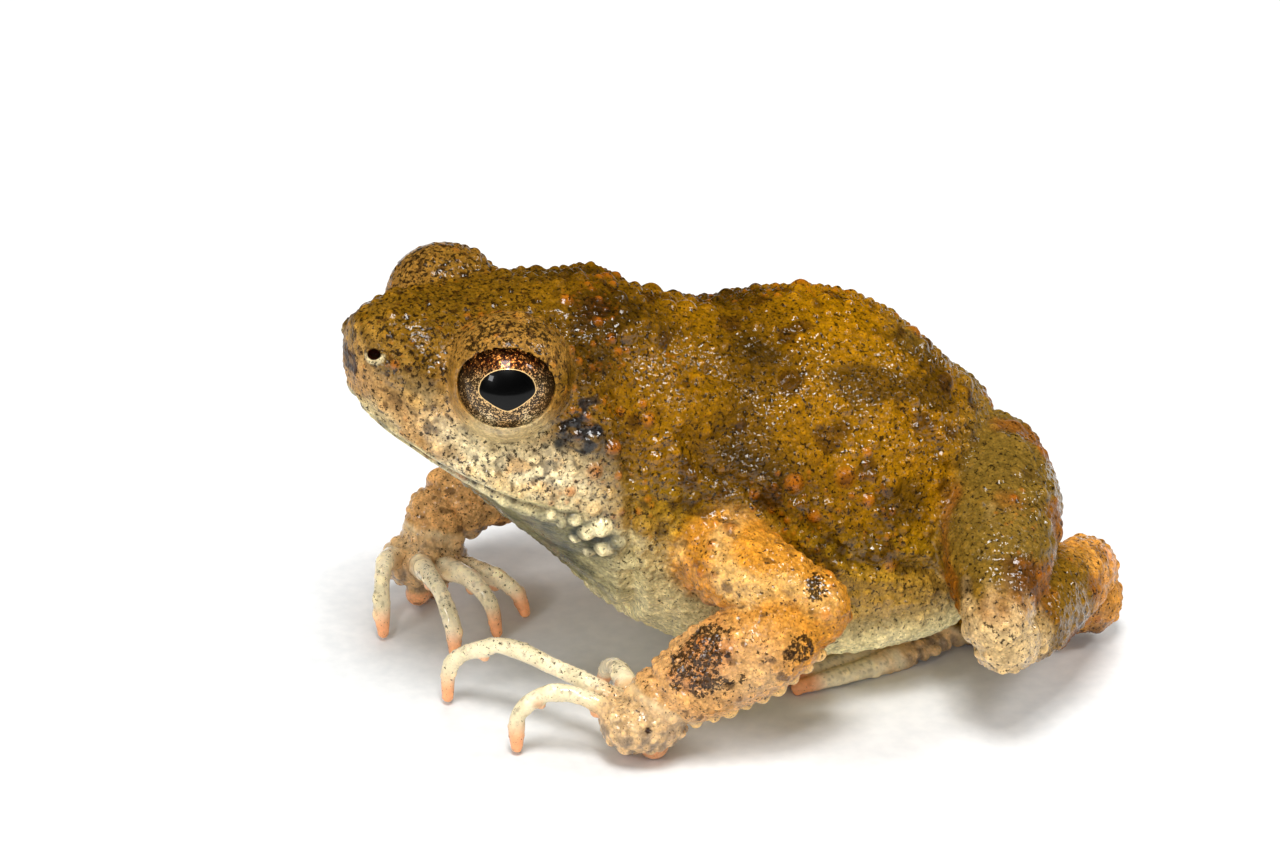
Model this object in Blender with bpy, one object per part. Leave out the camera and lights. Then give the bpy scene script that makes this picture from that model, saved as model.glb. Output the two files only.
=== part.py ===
"""A tungara frog at life size, sitting with its chest raised and its head turned up.

The frog faces -Y with its left side towards +X. Sizes are in millimetres, measured from
the snout tip backwards, sideways from the middle plane and up from the floor. MM turns
them into metres when a mesh is made, and at the end everything is moved so that the
middle of the footprint is the origin.
"""
import math
import random
from collections import namedtuple

import bmesh
import bpy
import numpy as np
from mathutils import Matrix, Vector

MM = 0.001
GAP = 0.3
SEED = 41

# One cross section of the body: distance behind the snout, heights of the back, of the
# widest line and of the belly, half the width, and how square the upper and lower halves are.
Ring = namedtuple("Ring", "y back side belly half_width upper lower")

BODY_RINGS = (
    Ring(0.60, 15.00, 14.20, 13.50, 0.75, 2.0, 2.0),
    Ring(0.80, 15.65, 13.75, 12.95, 1.35, 2.2, 1.8),
    Ring(1.30, 16.05, 13.00, 12.15, 2.00, 2.3, 1.7),
    Ring(2.30, 16.30, 12.05, 11.10, 2.90, 2.4, 1.7),
    Ring(4.10, 16.30, 10.70, 9.50, 4.05, 2.4, 1.7),
    Ring(6.00, 16.25, 9.70, 7.60, 4.85, 2.3, 1.8),
    Ring(8.00, 16.20, 9.00, 5.60, 5.30, 2.2, 1.9),
    Ring(10.0, 15.90, 8.20, 3.50, 5.50, 2.1, 2.0),
    Ring(12.0, 15.10, 7.20, 1.90, 5.90, 2.0, 2.2),
    Ring(15.0, 14.00, 5.80, 1.25, 6.70, 2.0, 2.7),
    Ring(18.0, 13.90, 5.00, 1.15, 7.20, 2.0, 3.1),
    Ring(20.5, 13.40, 4.90, 1.20, 7.20, 2.0, 3.0),
    Ring(22.5, 12.20, 5.10, 1.30, 6.80, 2.0, 2.8),
    Ring(24.5, 10.10, 5.40, 1.90, 5.50, 2.0, 2.3),
    Ring(26.0, 8.20, 5.50, 3.10, 4.00, 2.0, 2.0),
    Ring(27.2, 6.70, 5.20, 3.90, 2.70, 2.0, 2.0),
    Ring(28.0, 5.60, 4.90, 4.30, 1.30, 2.0, 2.0),
)
SNOUT_Y = BODY_RINGS[0].y
NECK_Y = 9.3
RUMP_Y = BODY_RINGS[-1].y
BODY_SIDES = 28
HEAD_STEPS = 12
TORSO_STEPS = 15
# The head's rings crowd towards the snout: their places follow this power.
SNOUT_CROWDING = 1.7
NORMAL_STEP = 0.05

# How finely round forms are divided, round the waist and from pole to pole.
SMALL_BALL = (8, 6)
LARGE_BALL = (14, 8)
CUTTER_BALL = (12, 8)

# The eye, its lids and the brow above it, for the left side.
EYE = (3.62, 5.25, 14.15)
EYE_RADIUS = 1.80
EYE_AXIS = (0.87, -0.30, 0.36)
LID_GAP = 0.25
LID_THICKNESS = 0.38
LID_OUTER = 2.34
BROW_SHIFT = (-0.22, 0.20, 0.24)
LID_OPENING = (1.95, 1.45)
OPENING_OUT = 1.9
OPENING_DEPTH = 1.6
OPENING_BALL = (12, 6)

# The mouth line runs from one jaw angle to the other and dips under the snout: its distance
# behind the snout, and its angle against the widest line of the head.
MOUTH_LINE = ((0.75, -1.48), (1.30, -1.08), (2.30, -0.61), (4.10, -0.26), (6.00, -0.05), (7.70, 0.0))
MOUTH_GROOVE = 0.20
UPPER_LIP = 0.42
LOWER_LIP = 0.36
NOSTRIL = (1.30, 1.10, 15.00)
MOUTH_CROWDING = 1.5
MOUTH_STEPS = 10
LIP_STEPS = 17
LIP_INSET = 0.70
UPPER_LIP_LIFT = 0.95
LOWER_LIP_DROP = 1.05
NOSTRIL_RIM = 0.48
NOSTRIL_HOLE = 0.22
NOSTRIL_OUT = 0.45
NOSTRIL_DEPTH = 0.3

# Limbs: points along the middle of each tube and its radius there.
Limb = namedtuple("Limb", "points radii")

LEFT_ARM = {
    "upper_arm": Limb(((4.2, 12.5, 7.0), (6.6, 12.9, 6.9), (8.1, 14.0, 6.4), (8.9, 15.1, 5.9)),
                      (1.55, 1.65, 1.50, 1.25)),
    "forearm": Limb(((8.9, 15.1, 5.7), (8.6, 13.2, 4.5), (8.0, 11.3, 3.4), (7.5, 9.8, 2.4)),
                    (1.35, 1.75, 1.65, 1.30)),
}
RIGHT_ARM = {
    "upper_arm": Limb(((-4.2, 11.6, 7.0), (-6.5, 12.2, 6.3), (-7.9, 13.2, 4.9), (-8.5, 14.0, 3.5)),
                      (1.55, 1.65, 1.50, 1.25)),
    "forearm": Limb(((-8.5, 13.8, 3.5), (-8.9, 11.4, 3.9), (-8.8, 9.0, 4.0), (-8.3, 7.0, 3.2)),
                    (1.35, 1.75, 1.65, 1.30)),
}
PALM_AXES = (1.50, 1.65, 0.95)
LEFT_PALM = (7.40, 9.10, 1.70)
RIGHT_PALM = (-7.90, 6.20, 1.95)
# Two pads carry each palm: their place against the palm's and their radius.
PALM_PADS = ((1.0, 0.35, 0.51, 0.60), (0.93, -0.5, 0.60, 0.66))
LEFT_FINGERS = (
    ((5.9, 10.2, 1.7), (4.8, 10.9, 1.7), (3.9, 11.4, 1.1), (3.6, 11.6, 0.30)),
    ((5.6, 9.2, 2.0), (3.9, 9.4, 2.0), (2.6, 9.5, 1.3), (2.1, 9.5, 0.30)),
    ((6.1, 8.0, 2.3), (3.9, 6.5, 2.9), (2.6, 5.5, 3.0), (1.5, 4.6, 2.5), (0.7, 4.0, 1.4),
     (0.65, 3.9, 0.30)),
    ((7.1, 7.5, 2.3), (6.3, 6.8, 2.5), (5.8, 5.9, 2.5), (5.4, 5.2, 1.9), (5.3, 4.9, 1.1),
     (5.3, 4.9, 0.30)),
)
RIGHT_FINGERS = (
    ((-6.5, 7.4, 1.7), (-5.6, 8.2, 1.6), (-5.0, 8.9, 1.0), (-4.8, 9.1, 0.30)),
    ((-6.2, 6.5, 2.0), (-4.9, 7.0, 2.0), (-3.9, 7.4, 1.3), (-3.6, 7.5, 0.30)),
    ((-6.4, 5.5, 2.2), (-4.9, 5.3, 2.5), (-3.6, 5.3, 2.3), (-2.7, 5.4, 1.3), (-2.5, 5.4, 0.30)),
    ((-7.4, 4.7, 2.2), (-6.6, 4.1, 2.5), (-5.8, 3.7, 2.1), (-5.3, 3.5, 1.1), (-5.2, 3.5, 0.30)),
)
FINGER_RADIUS = 0.34
DIGIT_TIP = 0.28

# Tubes: lengths along them and how round they are (each step of roundness adds two sides).
LIMB_STEPS = 9
LIMB_ROUNDNESS = 3
FINGER_STEPS = 7
TOE_STEPS = 6
DIGIT_ROUNDNESS = 2
LIP_ROUNDNESS = 1
END_TURNS = tuple(math.radians(angle) for angle in (30, 58, 80))

LEFT_LEG = {
    "thigh": Limb(((2.4, 25.0, 6.6), (5.6, 23.9, 6.7), (8.8, 22.5, 6.1), (11.4, 21.3, 5.2)),
                  (2.30, 2.40, 2.00, 1.25)),
    "shank": Limb(((11.4, 21.6, 4.3), (9.2, 23.8, 4.0), (6.8, 26.2, 3.6), (4.9, 28.0, 3.1)),
                  (1.15, 1.60, 1.45, 1.25)),
    "tarsus": Limb(((4.6, 28.4, 1.6), (4.0, 26.4, 1.1), (3.5, 24.4, 0.8), (3.2, 22.9, 0.65)),
                   (1.25, 0.95, 0.72, 0.60)),
}
FOOT = (3.0, 21.6, 0.45)
FOOT_AXES = (1.50, 1.75, 0.45)
TOE_RADIUS = 0.32
TOE_LENGTHS = (2.0, 3.0, 4.6, 6.8, 4.2)
TOE_BASE_TURNS = (-66, -34, -2, 30, 62)
TOE_TIP_TURNS = (-20, -10, -3, 3, 9)
# Toes spring from this share of the foot's size, and sag and bend along their length.
TOE_ROOT = 0.8
TOE_EXTRA = 0.5
TOE_BEND = 0.25
TOE_HEIGHTS = ((0, 0.06), (0.35, 0.10), (0.7, 0.08), (1, -0.04))

# Warts stand on the skin in a band of angles, counted from one flank over the back.
Warts = namedtuple("Warts", "count smallest largest first_y last_y band")
HEAD_WARTS = Warts(16, 0.20, 0.30, 2.0, NECK_Y - 0.7, (0.35, math.pi - 0.35))
TORSO_WARTS = Warts(36, 0.27, 0.42, NECK_Y + 0.95, 26.0, (-0.35, math.pi + 0.35))
WART_SIDES = 5
WART_TOP = 0.6
WART_HEIGHT = 0.65
WART_FOOT = 1.1
WART_SPACING = 1.054
# Warts keep this much more than the gap away from limbs, and rows of them wander a little.
WART_CLEARANCE = 0.35
ROW_WANDER = 0.05
TRIES_PER_WART = 12
ROW_STEP = 1.55
ROW_ANGLES = (0.42 * math.pi, 0.28 * math.pi)
ROW_WART = 0.44
GLAND_AXES = (0.80, 1.50, 0.60)
GLAND_PLACES = ((10.9, 0.36 * math.pi), (12.6, 0.24 * math.pi))
LIMB_WARTS = {"upper_arm": 3, "forearm": 6, "thigh": 6, "shank": 4}
LIMB_WART_RADIUS = (0.17, 0.27)
LIMB_WART_TURNS = (0.5, 2.6)
LIMB_WART_ENDS = 3
LIMB_WART_STEPS = 24
LIMB_WART_SPACING = 0.8
LIMB_WART_CLEARANCE = 0.3
LIMB_TRIES_PER_WART = 30
JAW_WARTS = ((8.25, -0.10, 0.36), (7.75, -0.24, 0.30), (8.45, -0.36, 0.30))

SKIN = {
    "head": (0.45, 0.27, 0.10),
    "torso": (0.30, 0.22, 0.09),
    "eye": (0.62, 0.40, 0.14),
    "upper_arm": (0.66, 0.38, 0.15),
    "forearm": (0.66, 0.38, 0.15),
    "hand": (0.70, 0.55, 0.36),
    "finger": (0.75, 0.60, 0.42),
    "thigh": (0.36, 0.26, 0.11),
    "shank": (0.40, 0.27, 0.12),
    "tarsus": (0.45, 0.30, 0.15),
    "foot": (0.62, 0.50, 0.34),
    "toe": (0.68, 0.55, 0.38),
}
EYE_ROUGHNESS = 0.08
SKIN_ROUGHNESS = 0.35

# The block below the floor that cuts flats under what stands there.
FLOOR_SIZE = (80, 80, 10)
FLOOR_MIDDLE_Y = 14
WELD = 1e-3


def clear_scene():
    """Remove every object that the file opened with."""
    for thing in list(bpy.data.objects):
        bpy.data.objects.remove(thing, do_unlink=True)


def collection(name):
    """A new collection in the scene."""
    made = bpy.data.collections.new(name)
    bpy.context.scene.collection.children.link(made)
    return made


def finish_of(name):
    """The skin or eye material that a node's name asks for."""
    kind = next(key for key in SKIN if name.startswith(key))
    material = bpy.data.materials.new(name + "_surface")
    material.use_nodes = True
    shader = material.node_tree.nodes["Principled BSDF"]
    shader.inputs["Base Color"].default_value = (*SKIN[kind], 1.0)
    shader.inputs["Roughness"].default_value = EYE_ROUGHNESS if kind == "eye" else SKIN_ROUGHNESS
    shader.inputs["Metallic"].default_value = 0.0
    return material


def add_object(name, mesh, group):
    """An object with this mesh in the group, smooth shaded."""
    mesh.shade_smooth()
    thing = bpy.data.objects.new(name, mesh)
    group.objects.link(thing)
    return thing


def mesh_from(shape, name):
    """A mesh made from a bmesh in millimetres, triangulated and in metres."""
    bmesh.ops.triangulate(shape, faces=shape.faces)
    bmesh.ops.recalc_face_normals(shape, faces=shape.faces)
    bmesh.ops.scale(shape, vec=(MM, MM, MM), verts=shape.verts)
    mesh = bpy.data.meshes.new(name)
    shape.to_mesh(mesh)
    shape.free()
    return mesh


def hermite(knots, values, where):
    """Points of the smooth curve that passes through values at the knots."""
    knots = np.asarray(knots, float)
    values = np.asarray(values, float)
    slopes = np.gradient(values, knots, axis=0)
    cell = np.clip(np.searchsorted(knots, where, side="right") - 1, 0, len(knots) - 2)
    step = knots[cell + 1] - knots[cell]
    t = (np.asarray(where, float) - knots[cell]) / step
    shape = (-1,) + (1,) * (values.ndim - 1)
    t, step = t.reshape(shape), step.reshape(shape)
    return ((2 * t**3 - 3 * t**2 + 1) * values[cell] + (t**3 - 2 * t**2 + t) * step * slopes[cell]
            + (3 * t**2 - 2 * t**3) * values[cell + 1] + (t**3 - t**2) * step * slopes[cell + 1])


def body_ring(y):
    """The body's cross section at a distance y behind the snout."""
    knots = [ring.y for ring in BODY_RINGS]
    return Ring(y, *hermite(knots, [ring[1:] for ring in BODY_RINGS], [y])[0])


def body_point(y, angle, grow=0.0):
    """A point of the body's skin; angle 0 is the left flank and a quarter turn the back."""
    ring = body_ring(y)
    up = math.sin(angle) >= 0
    power = 2 / (ring.upper if up else ring.lower)
    rise = abs(ring.back - ring.side if up else ring.side - ring.belly) + grow
    across = math.copysign(abs(math.cos(angle)) ** power, math.cos(angle))
    height = math.copysign(abs(math.sin(angle)) ** power, math.sin(angle))
    return Vector(((ring.half_width + grow) * across, y, ring.side + rise * height))


def body_normal(y, angle):
    """The outward direction of the body's skin."""
    low, high = max(y - NORMAL_STEP, SNOUT_Y), min(y + NORMAL_STEP, RUMP_Y)
    along = body_point(high, angle) - body_point(low, angle)
    around = body_point(y, angle + NORMAL_STEP) - body_point(y, angle - NORMAL_STEP)
    return along.cross(around).normalized()


def loft(name, sections):
    """A closed mesh through like-numbered rings of points, with flat ends."""
    shape = bmesh.new()
    rings = [[shape.verts.new(point) for point in section] for section in sections]
    count = len(rings[0])
    for first, second in zip(rings, rings[1:]):
        for i in range(count):
            j = (i + 1) % count
            shape.faces.new((first[i], first[j], second[j], second[i]))
    shape.faces.new(reversed(rings[0]))
    shape.faces.new(rings[-1])
    return mesh_from(shape, name)


def body_part(name, group, places, grow=0.0):
    """A length of the body between the first and the last of the places."""
    turns = [2 * math.pi * k / BODY_SIDES for k in range(BODY_SIDES)]
    sections = [[body_point(y, turn, grow) for turn in turns] for y in places]
    return add_object(name, loft(name, sections), group)


def head_places():
    """Where the head's rings lie, closer together towards the snout."""
    length = NECK_Y - SNOUT_Y
    return [SNOUT_Y + length * (k / HEAD_STEPS) ** SNOUT_CROWDING for k in range(HEAD_STEPS + 1)]


def torso_places():
    """Where the torso's rings lie, evenly from the neck to the rump."""
    start = NECK_Y + GAP
    return [start + (RUMP_Y - start) * k / TORSO_STEPS for k in range(TORSO_STEPS + 1)]


def ball(name, group, centre, axes, turn=None, divisions=LARGE_BALL):
    """An ellipsoid; turn is a rotation matrix for its axes."""
    shape = bmesh.new()
    bmesh.ops.create_uvsphere(shape, u_segments=divisions[0], v_segments=divisions[1], radius=1.0)
    bmesh.ops.scale(shape, vec=axes, verts=shape.verts)
    place = Matrix.Translation(centre) @ (turn.to_4x4() if turn else Matrix())
    bmesh.ops.transform(shape, matrix=place, verts=shape.verts)
    return add_object(name, mesh_from(shape, name), group)


def limb_line(plan, steps):
    """Evenly spread points along the middle of a limb, and its radius at each."""
    path = np.asarray(plan.points, float)
    along = np.concatenate(([0], np.cumsum(np.linalg.norm(np.diff(path, axis=0), axis=1))))
    where = np.linspace(0, along[-1], steps)
    return hermite(along, path, where), hermite(along, plan.radii, where)


def round_ends(middle, radius):
    """A tube's points and radii with a round end added to both of its ends."""
    ahead = middle[-1] - middle[-2]
    ahead = ahead / np.linalg.norm(ahead)
    behind = middle[0] - middle[1]
    behind = behind / np.linalg.norm(behind)
    tip = [middle[-1] + ahead * radius[-1] * math.sin(a) for a in END_TURNS]
    root = [middle[0] + behind * radius[0] * math.sin(a) for a in reversed(END_TURNS)]
    sizes = ([radius[0] * math.cos(a) for a in reversed(END_TURNS)], radius,
             [radius[-1] * math.cos(a) for a in END_TURNS])
    return np.vstack([root, middle, tip]), np.concatenate(sizes)


def tube(name, group, plan, grow=0.0, steps=LIMB_STEPS, roundness=LIMB_ROUNDNESS):
    """A tapering tube along a smooth path, as a mesh made from a bevelled curve."""
    middle, radius = limb_line(plan, steps)
    middle, radius = round_ends(middle, radius + grow)
    curve = bpy.data.curves.new(name, "CURVE")
    curve.dimensions = "3D"
    curve.bevel_depth = MM
    curve.bevel_resolution = roundness
    curve.use_fill_caps = True
    spline = curve.splines.new("POLY")
    spline.points.add(len(middle) - 1)
    for point, place, size in zip(spline.points, middle, radius):
        point.co = (*(place * MM), 1.0)
        point.radius = size
    guide = bpy.data.objects.new(name + "_path", curve)
    group.objects.link(guide)
    bpy.context.view_layer.update()
    evaluated = guide.evaluated_get(bpy.context.evaluated_depsgraph_get())
    mesh = bpy.data.meshes.new_from_object(evaluated)
    bpy.data.objects.remove(guide, do_unlink=True)
    shape = bmesh.new()
    shape.from_mesh(mesh)
    bmesh.ops.remove_doubles(shape, verts=shape.verts, dist=WELD * MM)
    bmesh.ops.triangulate(shape, faces=shape.faces)
    bmesh.ops.recalc_face_normals(shape, faces=shape.faces)
    shape.to_mesh(mesh)
    shape.free()
    return add_object(name, mesh, group)


def in_body(point, margin):
    """Whether a point lies in the body grown by the margin."""
    ring = body_ring(min(max(point.y, SNOUT_Y), RUMP_Y))
    up = point.z >= ring.side
    power = ring.upper if up else ring.lower
    rise = (ring.back - ring.side if up else ring.side - ring.belly) + margin
    across = abs(point.x) / (ring.half_width + margin)
    inside = across**power + (abs(point.z - ring.side) / rise) ** power < 1
    return inside and SNOUT_Y - margin < point.y < RUMP_Y + margin


def near_limb(point, plans, margin):
    """Whether a point lies closer than the margin to any of the limbs' skin."""
    for plan in plans:
        middle, radius = limb_line(plan, 12)
        if (np.linalg.norm(middle - np.array(point), axis=1) - radius).min() < margin:
            return True
    return False


def wart(group, place, normal, radius):
    """A blunt cone that stands on the skin with its root sunk in."""
    height, sunk = WART_HEIGHT * radius, radius
    shape = bmesh.new()
    bmesh.ops.create_cone(shape, cap_ends=True, segments=WART_SIDES, radius1=radius * WART_FOOT,
                          radius2=radius * WART_TOP, depth=height + sunk)
    turn = Vector(normal).to_track_quat("Z", "Y").to_matrix().to_4x4()
    spot = Vector(place) + Vector(normal) * (height - sunk) / 2
    bmesh.ops.transform(shape, matrix=Matrix.Translation(spot) @ turn, verts=shape.verts)
    return add_object("wart", mesh_from(shape, "wart"), group)


def body_warts(tools, plan, rows, avoid, draw):
    """Warts on a length of the body: even rows along the back and scattered ones between."""
    taken, made = [], []

    def settle(y, angle, radius):
        place = body_point(y, angle)
        spaced = all((place - other).length > WART_SPACING * (radius + size)
                     for other, size in taken)
        if spaced and not near_limb(place, avoid, radius + GAP + WART_CLEARANCE):
            taken.append((place, radius))
            made.append(wart(tools, place, body_normal(y, angle), radius))

    for angle in rows:
        y = plan.first_y
        while y < plan.last_y:
            for turn in (angle, math.pi - angle):
                wander = draw.uniform(-ROW_WANDER, ROW_WANDER)
                settle(y, turn + wander, ROW_WART * draw.uniform(0.75, 1.0))
            y += ROW_STEP * draw.uniform(0.9, 1.2)
    wanted, tries = len(made) + plan.count, 0
    while len(made) < wanted and tries < plan.count * TRIES_PER_WART:
        tries += 1
        settle(draw.uniform(plan.first_y, plan.last_y), draw.uniform(*plan.band),
               draw.uniform(plan.smallest, plan.largest))
    return made


def limb_warts(tools, plan, count, avoid, draw):
    """Warts on the outer and upper side of a limb, clear of the body and the other limbs."""
    middle, radius = limb_line(plan, LIMB_WART_STEPS)
    side = -1 if middle[0][0] < 0 else 1
    made, taken, tries = [], [], 0
    while len(made) < count and tries < count * LIMB_TRIES_PER_WART:
        tries += 1
        k = draw.randrange(LIMB_WART_ENDS, len(middle) - LIMB_WART_ENDS)
        along = Vector(middle[k + 1] - middle[k - 1]).normalized()
        level = Vector((side, 0, 0.4)).cross(along).normalized() * side
        turn = -side * draw.uniform(*LIMB_WART_TURNS)
        outward = Matrix.Rotation(turn, 3, along) @ level
        size = draw.uniform(*LIMB_WART_RADIUS)
        place = Vector(middle[k]) + outward * radius[k]
        room = size + GAP + LIMB_WART_CLEARANCE
        clear = not in_body(place, room) and not near_limb(place, avoid, room)
        spaced = all((place - other).length > LIMB_WART_SPACING for other in taken)
        if clear and spaced and place.z > LIMB_WART_SPACING:
            taken.append(place)
            made.append(wart(tools, place, outward, size))
    return made


def keep_largest(mesh):
    """Keep only the largest closed surface of a mesh."""
    shape = bmesh.new()
    shape.from_mesh(mesh)
    left = set(shape.faces)
    shells = []
    while left:
        shell, front = set(), [left.pop()]
        while front:
            face = front.pop()
            shell.add(face)
            for edge in face.edges:
                for other in edge.link_faces:
                    if other in left:
                        left.remove(other)
                        front.append(other)
        shells.append(shell)
    largest = max(shells, key=lambda shell: sum(face.calc_area() for face in shell))
    loose = [face for shell in shells if shell is not largest for face in shell]
    bmesh.ops.delete(shape, geom=loose, context="FACES")
    bmesh.ops.triangulate(shape, faces=shape.faces)
    shape.to_mesh(mesh)
    shape.free()


def combine(thing, tools, operation):
    """Apply one exact Boolean of the thing with all the tools, which are then removed."""
    if not tools:
        return thing
    group = collection("tools")
    for tool in tools:
        for holder in list(tool.users_collection):
            holder.objects.unlink(tool)
        group.objects.link(tool)
    change = thing.modifiers.new(operation.lower(), "BOOLEAN")
    change.operation = operation
    change.operand_type = "COLLECTION"
    change.collection = group
    bpy.context.view_layer.update()
    evaluated = thing.evaluated_get(bpy.context.evaluated_depsgraph_get())
    mesh = bpy.data.meshes.new_from_object(evaluated)
    thing.modifiers.clear()
    thing.data = mesh
    keep_largest(mesh)
    mesh.shade_smooth()
    for tool in tools:
        bpy.data.objects.remove(tool, do_unlink=True)
    bpy.data.collections.remove(group)
    return thing


def floor_block(group):
    """A block that fills the space below the floor, to cut flats on what stands there."""
    shape = bmesh.new()
    bmesh.ops.create_cube(shape, size=1.0)
    bmesh.ops.scale(shape, vec=FLOOR_SIZE, verts=shape.verts)
    bmesh.ops.translate(shape, vec=(0, FLOOR_MIDDLE_Y, -FLOOR_SIZE[2] / 2), verts=shape.verts)
    return add_object("floor_block", mesh_from(shape, "floor_block"), group)


def mirrored(point, side):
    """The point on the left (side 1) or its mirror image on the right (side -1)."""
    return Vector((point[0] * side, point[1], point[2]))


def aim(direction):
    """A rotation that turns +Z to the direction, keeping +X level."""
    forward = Vector(direction).normalized()
    across = Vector((0, 0, 1)).cross(forward).normalized()
    return Matrix((across, forward.cross(across), forward)).transposed()


def mouth_path(lift, inset):
    """Points along the mouth line, lifted along the skin and set in below it."""
    places, angles = zip(*MOUTH_LINE)
    length = places[-1] - places[0]
    left = []
    for k in range(MOUTH_STEPS, -1, -1):
        y = places[0] + length * (k / MOUTH_STEPS) ** MOUTH_CROWDING
        angle = float(np.interp(y, places, angles))
        ahead = max(y - NORMAL_STEP, places[0])
        behind = min(y + NORMAL_STEP, places[-1])
        along = (body_point(ahead, float(np.interp(ahead, places, angles)))
                 - body_point(behind, float(np.interp(behind, places, angles))))
        out = body_normal(y, angle)
        up = along.cross(out).normalized()
        if up.z - up.y / 2 < 0:
            up = -up
        left.append(body_point(y, angle) + up * lift - out * inset)
    left = [point for point in left if point.x > 0]
    return [tuple(point) for point in left] + [(-p.x, p.y, p.z) for p in reversed(left)]


def mouth_tube(name, tools, lift, inset, radius):
    """A thin tube along the mouth line, as a lip or to cut the line itself."""
    path = mouth_path(lift, inset)
    plan = Limb(path, [radius] * len(path))
    return tube(name, tools, plan, steps=LIP_STEPS, roundness=LIP_ROUNDNESS)


def eye_tools(side, tools):
    """What one eye adds to the head and what it cuts from it: lids, nostril rim; hollows."""
    eye, axis, nostril = (mirrored(place, side) for place in (EYE, EYE_AXIS, NOSTRIL))
    brow = eye + mirrored(BROW_SHIFT, side)
    hole = [NOSTRIL_HOLE, NOSTRIL_HOLE, NOSTRIL_DEPTH]
    added = [ball("brow", tools, brow, [LID_OUTER] * 3),
             ball("lids", tools, eye, [EYE_RADIUS + LID_GAP + LID_THICKNESS] * 3),
             ball("rim", tools, nostril, [NOSTRIL_RIM] * 3, divisions=SMALL_BALL)]
    cut = [ball("nostril", tools, nostril + axis * NOSTRIL_OUT, hole, divisions=SMALL_BALL),
           ball("socket", tools, eye, [EYE_RADIUS + LID_GAP] * 3),
           ball("opening", tools, eye + axis * OPENING_OUT, (*LID_OPENING, OPENING_DEPTH), aim(axis),
                divisions=OPENING_BALL)]
    return added, cut


def head(group, tools, draw):
    """The head with its warts, lips, mouth line, nostrils, brows and eye sockets."""
    node = body_part("head", group, head_places())
    step = Vector((0, 0.1, 0))
    eyes_room = [Limb([mirrored(EYE, side) + step * k for k in range(3)], [LID_OUTER + 0.1] * 3)
                 for side in (1, -1)]
    added = body_warts(tools, HEAD_WARTS, (), eyes_room, draw)
    for y, angle, radius in JAW_WARTS:
        for turn in (angle, math.pi - angle):
            added.append(wart(tools, body_point(y, turn), body_normal(y, turn), radius))
    added.append(mouth_tube("upper_lip", tools, UPPER_LIP * UPPER_LIP_LIFT, UPPER_LIP * LIP_INSET,
                            UPPER_LIP))
    added.append(mouth_tube("lower_lip", tools, -LOWER_LIP * LOWER_LIP_DROP, LOWER_LIP * LIP_INSET,
                            LOWER_LIP))
    cut = [mouth_tube("mouth_line", tools, 0.0, -0.05, MOUTH_GROOVE)]
    for side in (1, -1):
        eye_added, eye_cut = eye_tools(side, tools)
        added += eye_added
        cut += eye_cut
    combine(node, added, "UNION")
    combine(node, cut, "DIFFERENCE")
    return node


def all_limbs():
    """The plans of every limb length, on both sides."""
    legs = [Limb([mirrored(p, side) for p in part.points], part.radii)
            for part in LEFT_LEG.values() for side in (1, -1)]
    return list(LEFT_ARM.values()) + list(RIGHT_ARM.values()) + legs


def torso(group, tools, draw):
    """The body behind the head, with its glands and rows of warts."""
    node = body_part("torso", group, torso_places())
    added = body_warts(tools, TORSO_WARTS, ROW_ANGLES, all_limbs(), draw)
    for y, angle in GLAND_PLACES:
        for turn in (angle, math.pi - angle):
            added.append(ball("gland", tools, body_point(y, turn), GLAND_AXES, divisions=SMALL_BALL))
    return combine(node, added, "UNION")


def grown_body(tools):
    """The whole body grown by the gap, to cut what stands against it."""
    return body_part("grown_body", tools, head_places() + torso_places(), GAP)


def eyes(group):
    """Both eyeballs."""
    for side, label in ((1, "left"), (-1, "right")):
        ball("eye_" + label, group, mirrored(EYE, side), [EYE_RADIUS] * 3,
             aim(mirrored(EYE_AXIS, side)))


def limb(name, group, plan, cutters, tools, draw):
    """One length of a limb with its warts, cut clear of its neighbours."""
    node = tube(name, group, plan)
    kind = name.rsplit("_", 1)[0]
    own = [tuple(point) for point in plan.points]
    others = [other for other in all_limbs() if [tuple(point) for point in other.points] != own]
    combine(node, limb_warts(tools, plan, LIMB_WARTS.get(kind, 0), others, draw), "UNION")
    combine(node, cutters + [floor_block(tools)], "DIFFERENCE")
    return node


def grown(plan, tools):
    """A limb length grown by the gap, to cut its neighbours."""
    return tube("grown", tools, plan, grow=GAP)


def digit(name, group, path, radius, steps, root, root_axes, cutters, tools):
    """A finger or toe, cut clear of the palm or foot it springs from and of the floor."""
    plan = Limb(path, [radius] * (len(path) - 1) + [DIGIT_TIP])
    node = tube(name, group, plan, steps=steps, roundness=DIGIT_ROUNDNESS)
    room = ball("grown", tools, root, [size + GAP for size in root_axes], divisions=CUTTER_BALL)
    return combine(node, [room] + cutters + [floor_block(tools)], "DIFFERENCE")


def arm(label, plan, palm, fingers, group, tools, draw):
    """One foreleg: upper arm, forearm, hand and four fingers."""
    limb("upper_arm_" + label, group, plan["upper_arm"], [grown_body(tools)], tools, draw)
    limb("forearm_" + label, group, plan["forearm"], [grown_body(tools), grown(plan["upper_arm"], tools)],
         tools, draw)
    hand = ball("hand_" + label, group, palm, PALM_AXES)
    pads = [ball("pad", tools, (palm[0] * share, palm[1] + back, height), [radius] * 3,
                 divisions=SMALL_BALL) for share, back, height, radius in PALM_PADS]
    combine(hand, pads, "UNION")
    combine(hand, [grown(plan["forearm"], tools), floor_block(tools)], "DIFFERENCE")
    for number, path in enumerate(fingers, 1):
        digit(f"finger_{label}_{number}", group, path, FINGER_RADIUS, FINGER_STEPS, palm, PALM_AXES,
              [grown(plan["forearm"], tools)], tools)


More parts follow.
